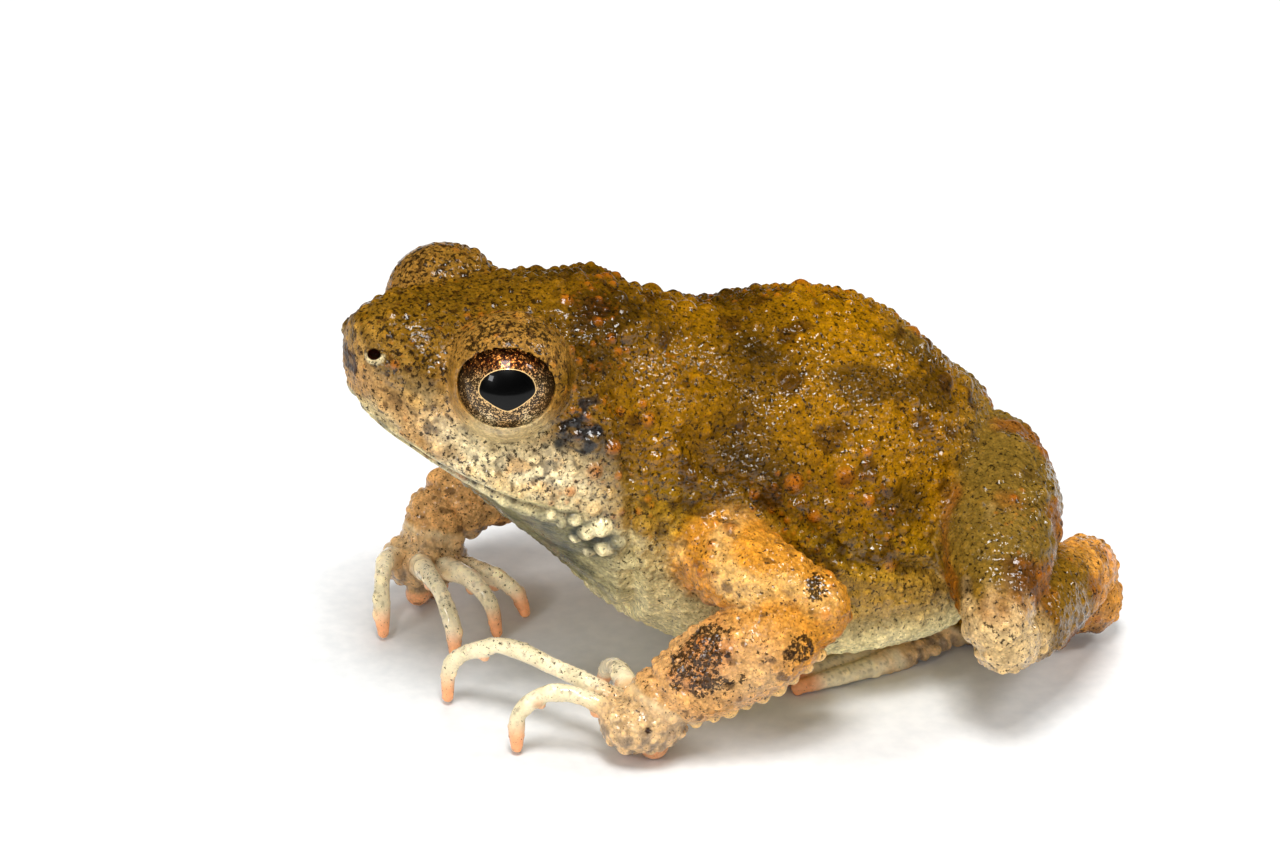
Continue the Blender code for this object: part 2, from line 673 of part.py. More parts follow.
def toe_path(side, number):
    """Points along one toe, from the foot to its tip."""
    base_turn = math.radians(TOE_BASE_TURNS[number])
    tip_turn = math.radians(TOE_TIP_TURNS[number])
    length = TOE_LENGTHS[number]
    base = Vector((FOOT[0] + math.sin(base_turn) * FOOT_AXES[0] * TOE_ROOT,
                   FOOT[1] - math.cos(base_turn) * FOOT_AXES[1] * TOE_ROOT, 0))
    tip = base + Vector((math.sin(tip_turn), -math.cos(tip_turn), 0)) * (length + TOE_EXTRA)
    points = []
    for share, height in TOE_HEIGHTS:
        bend = (tip_turn - base_turn) * share * (1 - share) * length * TOE_BEND
        point = base.lerp(tip, share) - Vector((bend, 0, 0))
        point.z = TOE_RADIUS + height
        points.append(mirrored(point, side))
    return points


def leg(label, side, group, tools, draw):
    """One hind leg: thigh, shank, tarsus, foot and five toes."""
    plan = {key: Limb([mirrored(p, side) for p in part.points], part.radii)
            for key, part in LEFT_LEG.items()}
    limb("thigh_" + label, group, plan["thigh"], [grown_body(tools)], tools, draw)
    limb("shank_" + label, group, plan["shank"], [grown_body(tools), grown(plan["thigh"], tools)],
         tools, draw)
    limb("tarsus_" + label, group, plan["tarsus"],
         [grown_body(tools), grown(plan["thigh"], tools), grown(plan["shank"], tools)], tools, draw)
    place = mirrored(FOOT, side)
    foot = ball("foot_" + label, group, place, FOOT_AXES)
    combine(foot, [grown(plan["tarsus"], tools), grown_body(tools), floor_block(tools)], "DIFFERENCE")
    for number in range(len(TOE_LENGTHS)):
        digit(f"toe_{label}_{number + 1}", group, toe_path(side, number), TOE_RADIUS, TOE_STEPS,
              place, FOOT_AXES, [grown(plan["tarsus"], tools)], tools)


def centre_on_floor(group):
    """Hang every node on one empty that puts the middle of the footprint at the origin."""
    bpy.context.view_layer.update()
    corners = np.array([tuple(node.matrix_world @ Vector(corner))
                        for node in group.objects for corner in node.bound_box])
    low, high = corners.min(axis=0), corners.max(axis=0)
    stand = bpy.data.objects.new("frog", None)
    group.objects.link(stand)
    stand.location = (-(low[0] + high[0]) / 2, -(low[1] + high[1]) / 2, -low[2])
    for node in list(group.objects):
        if node is not stand:
            node.parent = stand
            node.data.materials.clear()
            node.data.materials.append(finish_of(node.name))


def main():
    """Build the whole frog."""
    draw = random.Random(SEED)
    clear_scene()
    group = collection("tungara_frog")
    tools = collection("cutters")
    head(group, tools, draw)
    torso(group, tools, draw)
    eyes(group)
    arm("left", LEFT_ARM, LEFT_PALM, LEFT_FINGERS, group, tools, draw)
    arm("right", RIGHT_ARM, RIGHT_PALM, RIGHT_FINGERS, group, tools, draw)
    leg("left", 1, group, tools, draw)
    leg("right", -1, group, tools, draw)
    centre_on_floor(group)


main()
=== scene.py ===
"""Looks of a life-size tungara frog: one moist, warty skin over the solids, and glossy eyes.

Lengths in the classes are millimetres in the frog's own design frame: X to its left, Y back
from the snout tip, Z up from the floor. MM and the frame's eye turn them into the scene's
metres. Pattern scales are real millimetres too.
"""
import logging
import math
from dataclasses import dataclass, field
from enum import Enum
from typing import Dict, List, Optional, Sequence, Tuple

import bmesh
import bpy
import numpy as np
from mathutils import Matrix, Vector
from mathutils.kdtree import KDTree

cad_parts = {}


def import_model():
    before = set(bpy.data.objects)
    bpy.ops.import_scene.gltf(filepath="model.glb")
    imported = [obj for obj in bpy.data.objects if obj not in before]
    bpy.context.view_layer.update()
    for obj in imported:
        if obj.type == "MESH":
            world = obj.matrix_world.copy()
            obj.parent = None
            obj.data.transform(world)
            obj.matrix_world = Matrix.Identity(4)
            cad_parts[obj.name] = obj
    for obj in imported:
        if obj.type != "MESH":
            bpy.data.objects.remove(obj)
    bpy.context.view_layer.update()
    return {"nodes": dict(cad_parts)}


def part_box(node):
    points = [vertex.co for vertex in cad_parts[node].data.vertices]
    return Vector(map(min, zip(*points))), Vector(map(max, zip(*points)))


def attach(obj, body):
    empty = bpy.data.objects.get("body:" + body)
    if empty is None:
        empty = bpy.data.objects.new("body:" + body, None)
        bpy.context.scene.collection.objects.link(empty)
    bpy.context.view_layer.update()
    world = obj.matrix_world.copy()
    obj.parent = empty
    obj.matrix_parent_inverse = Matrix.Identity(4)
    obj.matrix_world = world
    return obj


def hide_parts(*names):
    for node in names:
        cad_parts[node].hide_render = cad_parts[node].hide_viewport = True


Point = Tuple[float, float, float]
Mesh = Tuple[np.ndarray, np.ndarray]

MM = 0.001
SEED = 20260

logging.basicConfig(level=logging.INFO, format="%(relativeCreated)6d ms %(name)s: %(message)s")
log = logging.getLogger("frog")


class Side(Enum):
    """Left is towards +X."""

    LEFT = 1
    RIGHT = -1

    @property
    def label(self) -> str:
        """The word that node names use."""
        return self.name.lower()

    def place(self, point: Sequence[float]) -> np.ndarray:
        """A left-side point on this side."""
        return np.array((point[0] * self.value, point[1], point[2]), float)


class Zone(Enum):
    """Parts of the skin that have their own colour and warts."""

    BODY = 0
    ARM = 1
    HAND = 2
    LEG = 3
    FOOT = 4


class Change(Enum):
    """What one closed mesh does to another."""

    ADD = "UNION"
    CUT = "DIFFERENCE"


@dataclass(frozen=True)
class Palette:
    """Skin colours as the photo shows them, in sRGB hex."""

    back: str = "#644302"
    back_dark: str = "#2C1C02"
    back_ochre: str = "#966600"
    rust: str = "#953A08"
    head: str = "#72500C"
    head_gold: str = "#C08E38"
    lid: str = "#B07F3A"
    snout: str = "#C48A42"
    cheek: str = "#FAE6B6"
    lip: str = "#D6C08C"
    cream: str = "#FAE8B4"
    flank: str = "#A0760C"
    groin: str = "#735C24"
    throat: str = "#504E2C"
    belly: str = "#F4E4AA"
    slate: str = "#1A2827"
    ear: str = "#101A22"
    arm: str = "#C68428"
    arm_pale: str = "#E6BC74"
    forearm: str = "#D6A56C"
    umber: str = "#A8602C"
    palm: str = "#D3A871"
    blotch: str = "#270B04"
    hand: str = "#F8E6BE"
    hand_dark: str = "#6E6258"
    hand_grey: str = "#B9AC7E"
    tip: str = "#F8AA74"
    leg: str = "#785410"
    knee: str = "#DDBB84"
    heel: str = "#E09A44"
    wart_rust: str = "#B8620F"
    fleck: str = "#160C03"


@dataclass(frozen=True)
class EyePalette:
    """Eye colours as the photo shows them, in sRGB hex."""

    pupil: str = "#020202"
    gold: str = "#D8AE74"
    pale_gold: str = "#F6E9BE"
    ring: str = "#F0C98A"
    copper: str = "#FFA24C"
    ember: str = "#5E240A"
    vein: str = "#140B06"
    rim: str = "#0C0805"


def linear(hex_colour: str) -> Tuple[float, float, float, float]:
    """Turn an sRGB hex colour to linear light.

    Args:
        hex_colour: colour as #RRGGBB.

    Returns:
        Linear red, green, blue and an alpha of 1.
    """
    parts = [int(hex_colour[i:i + 2], 16) / 255 for i in (1, 3, 5)]
    light = [c / 12.92 if c <= 0.04045 else ((c + 0.055) / 1.055) ** 2.4 for c in parts]
    return (*light, 1.0)


def smoothstep(low: float, high: float, value: np.ndarray) -> np.ndarray:
    """A soft step from 0 at low to 1 at high."""
    t = np.clip((value - low) / (high - low), 0.0, 1.0)
    return t * t * (3 - 2 * t)


def hermite(knots: Sequence[float], values: Sequence, where: np.ndarray) -> np.ndarray:
    """Points of the smooth curve that passes through values at the knots.

    Args:
        knots: rising positions.
        values: a value or a row of values at each knot.
        where: positions to read.

    Returns:
        One value or row for each position.
    """
    knots_a, values_a = np.asarray(knots, float), np.asarray(values, float)
    where_a = np.asarray(where, float)
    slopes = np.gradient(values_a, knots_a, axis=0)
    cell = np.clip(np.searchsorted(knots_a, where_a, side="right") - 1, 0, len(knots_a) - 2)
    step = knots_a[cell + 1] - knots_a[cell]
    t = (where_a - knots_a[cell]) / step
    shape = (-1,) + (1,) * (values_a.ndim - 1)
    t, step = t.reshape(shape), step.reshape(shape)
    return ((2 * t**3 - 3 * t**2 + 1) * values_a[cell]
            + (t**3 - 2 * t**2 + t) * step * slopes[cell]
            + (3 * t**2 - 2 * t**3) * values_a[cell + 1]
            + (t**3 - t**2) * step * slopes[cell + 1])


def bridge(rings: np.ndarray) -> Mesh:
    """A closed mesh through like-numbered rings, with a fan at each end.

    Args:
        rings: array of shape (rings, sides, 3).

    Returns:
        Vertices and triangles.
    """
    count, sides, _ = rings.shape
    points = np.vstack([rings.reshape(-1, 3), rings[0].mean(axis=0), rings[-1].mean(axis=0)])
    first, last = count * sides, count * sides + 1
    faces = []
    for i in range(count - 1):
        for j in range(sides):
            a, b = i * sides + j, i * sides + (j + 1) % sides
            c, d = a + sides, b + sides
            faces += [(a, b, d), (a, d, c)]
    for j in range(sides):
        k = (j + 1) % sides
        faces += [(first, k, j), (last, (count - 1) * sides + j, (count - 1) * sides + k)]
    return points, np.array(faces)


def ball(centre: Sequence[float], axes: Sequence[float], turn: np.ndarray = np.eye(3),
         sides: int = 32) -> Mesh:
    """A closed ellipsoid.

    Args:
        centre: its middle.
        axes: its three half lengths.
        turn: rotation matrix of its axes.
        sides: points round its waist.

    Returns:
        Vertices and triangles.
    """
    rings = sides // 2
    lat = np.linspace(-math.pi / 2, math.pi / 2, rings + 2)[1:-1]
    lon = np.arange(sides) * 2 * math.pi / sides
    unit = np.stack([np.cos(lat)[:, None] * np.cos(lon), np.cos(lat)[:, None] * np.sin(lon),
                     np.repeat(np.sin(lat)[:, None], sides, axis=1)], axis=-1)
    points, faces = bridge(unit)
    points[-2], points[-1] = (0, 0, -1), (0, 0, 1)
    return points * np.asarray(axes) @ turn.T + np.asarray(centre, float), faces


def aim(direction: Sequence[float]) -> np.ndarray:
    """A rotation that turns +Z to the direction and keeps +X level.

    Args:
        direction: where +Z goes, of any length.

    Returns:
        The rotation matrix.
    """
    forward = np.asarray(direction, float) / np.linalg.norm(direction)
    across = np.cross((0.0, 0.0, 1.0), forward)
    across /= np.linalg.norm(across)
    return np.stack([across, np.cross(forward, across), forward], axis=1)


@dataclass(frozen=True)
class Ring:
    """One cross section of the body."""

    y: float
    back: float
    side: float
    belly: float
    half_width: float
    upper: float
    lower: float


BODY_RINGS = (
    Ring(0.60, 15.00, 14.20, 13.50, 0.75, 2.0, 2.0),
    Ring(0.80, 15.65, 13.75, 12.95, 1.35, 2.2, 1.8),
    Ring(1.30, 16.05, 13.00, 12.15, 2.00, 2.3, 1.7),
    Ring(2.30, 16.30, 12.05, 11.10, 2.90, 2.4, 1.7),
    Ring(4.10, 16.30, 10.70, 9.50, 4.05, 2.4, 1.7),
    Ring(6.00, 16.25, 9.70, 7.60, 4.85, 2.3, 1.8),
    Ring(8.00, 16.20, 9.00, 5.60, 5.30, 2.2, 1.9),
    Ring(10.0, 15.90, 8.20, 3.50, 5.50, 2.1, 2.0),
    Ring(12.0, 15.10, 7.20, 1.90, 5.90, 2.0, 2.2),
    Ring(15.0, 14.00, 5.80, 1.25, 6.70, 2.0, 2.7),
    Ring(18.0, 13.90, 5.00, 1.15, 7.20, 2.0, 3.1),
    Ring(20.5, 13.40, 4.90, 1.20, 7.20, 2.0, 3.0),
    Ring(22.5, 12.20, 5.10, 1.30, 6.80, 2.0, 2.8),
    Ring(24.5, 10.10, 5.40, 1.90, 5.50, 2.0, 2.3),
    Ring(26.0, 8.20, 5.50, 3.10, 4.00, 2.0, 2.0),
    Ring(27.2, 6.70, 5.20, 3.90, 2.70, 2.0, 2.0),
    Ring(28.0, 5.60, 4.90, 4.30, 1.30, 2.0, 2.0),
)


# The mouth line: distance behind the snout and angle below the widest line of the head.
MOUTH_LINE = ((0.75, -1.48), (1.30, -1.08), (2.30, -0.61), (4.10, -0.26), (6.00, -0.05), (7.70, 0.0))


@dataclass
class Trunk:
    """Head and body as one loft through a few cross sections."""

    rings: Tuple[Ring, ...] = BODY_RINGS
    sides: int = 112
    steps: int = 150

    @property
    def snout_y(self) -> float:
        """Where the snout begins."""
        return self.rings[0].y

    @property
    def rump_y(self) -> float:
        """Where the body ends."""
        return self.rings[-1].y

    def rows(self, y: np.ndarray) -> np.ndarray:
        """Back, side, belly, half width, upper and lower powers at each y."""
        table = [(r.back, r.side, r.belly, r.half_width, r.upper, r.lower) for r in self.rings]
        return hermite([r.y for r in self.rings], table, y)

    def points(self, y: np.ndarray, angle: np.ndarray) -> np.ndarray:
        """Skin points at matching places.

        Args:
            y: distances behind the snout.
            angle: angles from the left flank, positive upwards.

        Returns:
            One point for each pair.
        """
        row = self.rows(y)
        up = np.sin(angle) >= 0
        power = 2 / np.where(up, row[:, 4], row[:, 5])
        rise = np.where(up, row[:, 0] - row[:, 1], row[:, 1] - row[:, 2])
        across = np.sign(np.cos(angle)) * np.abs(np.cos(angle)) ** power
        height = np.sign(np.sin(angle)) * np.abs(np.sin(angle)) ** power
        return np.stack([row[:, 3] * across, y, row[:, 1] + rise * height], axis=1)

    def mesh(self) -> Mesh:
        """The loft as a closed mesh, with rings closer together at the snout.

        Returns:
            Vertices and triangles.
        """
        share = np.linspace(0, 1, self.steps) ** 1.25
        places = self.snout_y + (self.rump_y - self.snout_y) * share
        turns = np.arange(self.sides) * 2 * math.pi / self.sides
        rings = [self.points(np.full(self.sides, y), turns) for y in places]
        return bridge(np.array(rings))

    def normals(self, y: np.ndarray, angle: np.ndarray) -> np.ndarray:
        """Outward directions of the skin at matching places.

        Args:
            y: distances behind the snout.
            angle: angles from the left flank.

        Returns:
            One unit vector for each pair.
        """
        low = np.maximum(y - 0.05, self.snout_y)
        along = self.points(np.minimum(y + 0.05, self.rump_y), angle) - self.points(low, angle)
        around = self.points(y, angle + 0.05) - self.points(y, angle - 0.05)
        out = np.cross(along, around)
        return out / np.linalg.norm(out, axis=1)[:, None]

    def mouth_path(self, lift: float, inset: float, count: int = 60) -> np.ndarray:
        """Points along the mouth line, which dips under the snout, from jaw to jaw.

        Args:
            lift: how far above the line, along the skin.
            inset: how far inside the skin the path lies.
            count: points on each side.

        Returns:
            The path's points.
        """
        table = np.array(MOUTH_LINE)
        y = table[0, 0] + (table[-1, 0] - table[0, 0]) * np.linspace(1, 0, count) ** 1.5
        angle = np.interp(y, table[:, 0], table[:, 1])
        line, out = self.points(y, angle), self.normals(y, angle)
        up = np.cross(np.gradient(line, axis=0), out)
        up *= np.sign(up @ (0.0, -0.5, 1.0))[:, None] / np.linalg.norm(up, axis=1)[:, None]
        left = line + up * lift - out * inset
        left = left[left[:, 0] > 0.12]
        right = left[::-1] * (-1, 1, 1)
        return np.vstack([left, right])

    def line_height(self, y: np.ndarray) -> np.ndarray:
        """Height of the mouth line, and of the widest line behind the jaw.

        Args:
            y: distances behind the snout.

        Returns:
            One height for each distance.
        """
        table = np.array(MOUTH_LINE)
        places = np.linspace(table[0, 0], table[-1, 0], 80)
        line = self.points(places, np.interp(places, table[:, 0], table[:, 1]))
        behind = self.rows(np.clip(y, self.snout_y, self.rump_y))[:, 1]
        return np.where(y < table[-1, 0], np.interp(y, places, line[:, 2]), behind)

    def on_skin(self, places: Sequence[Tuple[float, float]], side: Side) -> np.ndarray:
        """Skin points at (distance behind the snout, angle from the flank) pairs on one side."""
        table = np.array(places)
        return self.points(table[:, 0], table[:, 1]) * (side.value, 1, 1)


# Where a tube's round ends have rings, in degrees, and a direction that no tube has.
CAP_TURNS = (20, 40, 60, 78)
NO_LIMB_LIES_THIS_WAY = (0.3, 0.2, 0.93)


@dataclass(frozen=True)
class Limb:
    """A tapering tube along a smooth path, with round ends."""

    name: str
    zone: Zone
    points: Tuple[Point, ...]
    radii: Tuple[float, ...]
    sides: int = 40

    def path(self, steps: int) -> Tuple[np.ndarray, np.ndarray]:
        """Evenly spread points along the middle.

        Args:
            steps: how many.

        Returns:
            The points, and the radius at each.
        """
        knots = np.asarray(self.points, float)
        along = np.concatenate(([0], np.cumsum(np.linalg.norm(np.diff(knots, axis=0), axis=1))))
        where = np.linspace(0, along[-1], steps)
        return hermite(along, knots, where), hermite(along, self.radii, where)

    def mesh(self, steps: int = 48) -> Mesh:
        """The tube as a closed mesh."""
        middle, radius = self.path(steps)
        return tube(middle, radius, self.sides)


def tube(middle: np.ndarray, radius: np.ndarray, sides: int) -> Mesh:
    """A closed tube with round ends along given points.

    Args:
        middle: points along it.
        radius: its radius at each point.
        sides: points round it.

    Returns:
        Vertices and triangles.
    """
    turns = np.radians(CAP_TURNS)
    start = middle[0] - middle[1]
    start /= np.linalg.norm(start)
    end = middle[-1] - middle[-2]
    end /= np.linalg.norm(end)
    head = [middle[0] + start * radius[0] * math.sin(t) for t in turns[::-1]]
    tail = [middle[-1] + end * radius[-1] * math.sin(t) for t in turns]
    line = np.vstack([head, middle, tail])
    size = np.concatenate([radius[0] * np.cos(turns[::-1]), radius, radius[-1] * np.cos(turns)])
    ahead = np.gradient(line, axis=0)
    ahead /= np.linalg.norm(ahead, axis=1)[:, None]
    across = np.cross(ahead[0], NO_LIMB_LIES_THIS_WAY)
    angle = np.arange(sides) * 2 * math.pi / sides
    rings = []
    for spot, forward, reach in zip(line, ahead, size):
        across = across - forward * (across @ forward)
        across /= np.linalg.norm(across)
        other = np.cross(forward, across)
        rings.append(spot + reach * (np.cos(angle)[:, None] * across + np.sin(angle)[:, None] * other))
    return bridge(np.array(rings))


@dataclass(frozen=True)
class HeadPlan:
    """Sizes of the mouth, nostrils, lids, glands and jaw warts, for the left side."""

    mouth_radius: float = 0.11
    upper_lip: float = 0.38
    lower_lip: float = 0.32
    # In radii: how far the lips stand off the mouth line and lie inside the skin, then how thick
    # they are at the ends and what they gain in how many points.
    lip_lift: Tuple[float, float] = (0.95, -1.05)
    lip_inset: float = 0.72
    lip_taper: Tuple[float, float] = (0.55, 0.45)
    lip_taper_steps: int = 12
    nostril: Point = (1.30, 1.10, 15.00)
    nostril_axis: Point = (0.76, -0.48, 0.44)
    nostril_rim: float = 0.38
    nostril_hole: float = 0.22
    nostril_depth: float = 0.62
    eye: Point = (3.62, 5.25, 14.15)
    eye_radius: float = 1.88
    eye_axis: Point = (0.87, -0.30, 0.36)
    lid_outer: float = 2.26
    lid_skin: float = 0.22
    lid_rim: float = 0.15
    # How far the lid edge's middle lies outside the opening and the eyeball, in its radii.
    rim_seat: float = 0.4
    socket_play: float = 0.02
    brow_shift: Point = (-0.22, 0.20, 0.22)
    lid_opening: Tuple[float, float] = (1.78, 1.60)
    lid_depth: Tuple[float, float] = (0.9, 1.6)
    gland_axes: Tuple[float, float] = (2.0, 1.25)
    gland_height: float = 0.50
    gland_places: Tuple[Tuple[float, float], ...] = ((10.9, 0.36), (12.6, 0.24))
    jaw_warts: Tuple[Tuple[float, float, float], ...] = (
        (8.25, -0.10, 0.40), (7.75, -0.24, 0.34), (8.45, -0.36, 0.34), (8.9, -0.20, 0.30),
        (7.30, -0.10, 0.24), (6.85, -0.22, 0.20), (6.45, -0.12, 0.19), (6.0, -0.24, 0.17),
        (8.05, -0.52, 0.24), (7.45, -0.40, 0.22))

    def nostril_mouth(self, side: Side, out: float = 0.0) -> np.ndarray:
        """The middle of a nostril's opening, or a place in front of it or inside it."""
        axis = side.place(self.nostril_axis)
        return side.place(self.nostril) + axis / np.linalg.norm(axis) * (self.nostril_rim + out)


@dataclass(frozen=True)
class Crease:
    """A fold along a few places on the trunk, as (distance behind the snout, angle) pairs."""

    places: Tuple[Tuple[float, float], ...]
    width: float
    depth: float


TRUNK_CREASES = (
    Crease(((7.6, 1.15), (8.5, 0.85), (9.15, 0.50), (9.45, 0.10), (9.35, -0.30)), 0.26, 0.26),
    Crease(((9.6, -0.50), (10.2, -0.85), (10.5, -1.25), (10.6, -1.57)), 0.30, 0.28),
    Crease(((11.6, 0.55), (12.4, 0.42), (13.6, 0.40), (14.8, 0.28)), 0.28, 0.22),
    Crease(((13.9, 0.02), (15.4, -0.16), (17.2, -0.24), (19.4, -0.20)), 0.34, 0.26),
    Crease(((15.8, 0.30), (17.6, 0.14), (19.6, 0.10), (21.2, 0.02)), 0.30, 0.20),
    Crease(((20.3, 0.80), (21.4, 0.60), (22.4, 0.42), (23.6, 0.36)), 0.30, 0.24),
    Crease(((15.0, -0.75), (17.0, -0.82), (19.0, -0.75), (20.6, -0.60)), 0.34, 0.22),
)


@dataclass(frozen=True)
class LimbCrease:
    """A fold round a limb at a share of its length."""

    limb: str
    share: float
    width: float
    depth: float


LIMB_CREASES = (
    LimbCrease("forearm", 0.97, 0.16, 0.14), LimbCrease("forearm", 0.84, 0.12, 0.07),
    LimbCrease("forearm", 0.10, 0.16, 0.12), LimbCrease("upper_arm", 0.34, 0.18, 0.10),
    LimbCrease("upper_arm", 0.90, 0.14, 0.09), LimbCrease("shank", 0.10, 0.20, 0.12),
    LimbCrease("thigh", 0.86, 0.20, 0.10), LimbCrease("tarsus", 0.20, 0.14, 0.08),
)


@dataclass(frozen=True)
class Blotch:
    """A blotch on the left side: its middle, half lengths, depth of colour and raggedness."""

    centre: Point
    axes: Point
    depth: float = 1.0
    ragged: float = 0.0


@dataclass(frozen=True)
class LegPatch:
    """A coloured patch on the left hind leg: its colour, middle, radius and depth of colour."""

    colour: str
    centre: Point
    radius: float
    depth: float


@dataclass(frozen=True)
class Markings:
    """Where the single markings stand on the left side; the right side mirrors them."""

    ear: Point = (4.9, 7.6, 12.2)
    behind_eye: Point = (4.6, 8.6, 13.6)
    # From the eye's middle to the cream lower lid.
    lower_lid: Point = (1.2, -0.4, -1.9)
    shoulder: Point = (6.6, 13.4, 10.6)
    forearm: Point = (9.5, 10.3, 4.9)
    # From the forearm's middle line to its outer lower edge, one radius away.
    forearm_edge: Point = (0.526, 0.345, -0.772)
    umber: Blotch = Blotch(forearm, (1.8, 1.5, 1.6), 0.55)
    # Places crowded with black dots: forearm, its far end and the elbow.
    dotted: Tuple[Blotch, ...] = (
        Blotch(forearm, (1.9, 1.65, 1.7)), Blotch((9.9, 14.0, 5.0), (1.1, 0.75, 0.75)),
        Blotch((9.6, 14.9, 7.0), (0.7, 0.6, 0.55)))
    # Ear, temple, snout tip, four marks on the cheek, two on the flank and the wrist's dot.
    dark: Tuple[Blotch, ...] = (
        Blotch(ear, (1.4, 0.92, 0.66), 0.90, 0.60),
        Blotch((4.9, 8.2, 13.3), (1.2, 0.45, 0.40), 0.85, 1.3),
        Blotch((0.3, 0.6, 14.4), (0.5, 0.5, 0.45), 0.9, 0.5),
        Blotch((5.0, 4.6, 11.2), (0.8, 0.26, 0.6), 0.55, 0.9),
        Blotch((5.3, 6.5, 10.4), (0.8, 0.26, 0.7), 0.55, 0.9),
        Blotch((3.6, 2.6, 12.6), (0.8, 0.24, 0.5), 0.50, 0.9),
        Blotch((2.4, 1.5, 13.4), (0.8, 0.20, 0.4), 0.45, 0.9),
        Blotch((6.4, 12.2, 9.2), (1.0, 1.1, 0.7), 0.6, 1.2),
        Blotch((6.9, 16.0, 6.6), (1.0, 1.8, 0.6), 0.6, 1.3),
        Blotch((8.8, 8.7, 1.85), (0.30, 0.14, 0.14), 0.95))
    # Brown heel, pale knee, the heel's orange spot, two on the thigh's edge and its pale top.
    leg: Tuple[LegPatch, ...] = (
        LegPatch(Palette.heel, (5.6, 27.6, 2.8), 3.4, 0.8),
        LegPatch(Palette.knee, (12.0, 21.2, 4.2), 2.5, 0.9),
        LegPatch(Palette.tip, (5.6, 28.3, 3.6), 0.75, 0.9),
        LegPatch(Palette.tip, (7.4, 22.0, 5.4), 0.9, 0.6),
        LegPatch(Palette.tip, (8.8, 21.4, 4.6), 0.7, 0.6),
        LegPatch(Palette.knee, (8.6, 22.6, 7.4), 0.9, 0.5))


ARM_RADII = ((1.55, 1.65, 1.50, 1.25), (1.35, 1.75, 1.65, 1.30))
LEFT_ARM_PATHS = (((4.2, 12.5, 7.0), (6.6, 12.9, 6.9), (8.1, 14.0, 6.4), (8.9, 15.1, 5.9)),
                  ((8.9, 15.1, 5.7), (8.6, 13.2, 4.5), (8.0, 11.3, 3.4), (7.5, 9.8, 2.4)))
RIGHT_ARM_PATHS = (((-4.2, 11.6, 7.0), (-6.5, 12.2, 6.3), (-7.9, 13.2, 4.9), (-8.5, 14.0, 3.5)),
                   ((-8.5, 13.8, 3.5), (-8.9, 11.4, 3.9), (-8.8, 9.0, 4.0), (-8.3, 7.0, 3.2)))
WRIST_RADII = (1.30, 1.22, 0.90)
PALM_AXES = (1.36, 1.70, 1.08)
LEFT_PALM = (7.40, 9.10, 1.56)
RIGHT_PALM = (-7.90, 6.20, 1.74)
LEFT_FINGERS = (
    ((5.9, 10.2, 1.7), (4.8, 10.9, 1.7), (3.9, 11.4, 1.1), (3.6, 11.6, 0.30)),
    ((5.6, 9.2, 2.0), (3.9, 9.4, 2.0), (2.6, 9.5, 1.3), (2.1, 9.5, 0.30)),
    ((6.6, 8.5, 1.95), (5.5, 7.6, 2.5), (4.3, 6.75, 2.75), (2.9, 5.72, 3.02), (2.3, 5.27, 2.97),
     (1.9, 4.95, 2.72), (1.05, 4.30, 2.12), (0.76, 4.07, 1.72), (0.66, 3.96, 1.15), (0.64, 3.94, 0.30)),
    ((7.2, 8.1, 1.90), (6.9, 7.4, 2.4), (6.45, 6.9, 2.55), (5.95, 6.1, 2.60), (5.72, 5.7, 2.45),
     (5.42, 5.15, 1.90), (5.33, 4.96, 1.60), (5.3, 4.9, 1.1), (5.3, 4.9, 0.30)),
)
RIGHT_FINGERS = (
    ((-6.5, 7.4, 1.7), (-5.6, 8.2, 1.6), (-5.0, 8.9, 1.0), (-4.8, 9.1, 0.30)),
    ((-6.2, 6.5, 2.0), (-4.9, 7.0, 2.0), (-3.9, 7.4, 1.3), (-3.6, 7.5, 0.30)),
    ((-6.4, 5.5, 2.2), (-4.9, 5.3, 2.5), (-3.6, 5.3, 2.3), (-2.7, 5.4, 1.3), (-2.5, 5.4, 0.30)),
    ((-7.4, 4.7, 2.2), (-6.6, 4.1, 2.5), (-5.8, 3.7, 2.1), (-5.3, 3.5, 1.1), (-5.2, 3.5, 0.30)),
)
LEG_PATHS = (
    ("thigh", ((2.4, 25.0, 6.6), (5.6, 23.9, 6.7), (8.8, 22.5, 6.1), (11.4, 21.3, 5.2)),
     (2.30, 2.40, 2.00, 1.25)),
    ("shank", ((11.4, 21.6, 4.3), (9.2, 23.8, 4.0), (6.8, 26.2, 3.6), (4.9, 28.0, 3.1)),
     (1.15, 1.60, 1.45, 1.25)),
    ("tarsus", ((4.6, 28.4, 1.6), (4.0, 26.4, 1.1), (3.5, 24.4, 0.8), (3.2, 22.9, 0.65)),
     (1.25, 0.95, 0.72, 0.60)),
)
FOOT = (3.0, 21.6, 0.45)
FOOT_AXES = (1.50, 1.75, 0.45)
TOE_RADIUS = 0.32
TOE_LENGTHS = (2.0, 3.0, 4.6, 6.8, 4.2)
TOE_BASE_TURNS = (-66, -34, -2, 30, 62)
TOE_TIP_TURNS = (-20, -10, -3, 3, 9)


def digit_radii(count: int, thick: float) -> Tuple[float, ...]:
    """Radii along a digit: stout at its root, swollen at its joints and blunt at its tip."""
    swell = [thick * (1.18 - 0.20 * k / count + 0.13 * (k % 2)) for k in range(1, count - 1)]
    return (thick * 1.75, *swell, thick * 0.84)


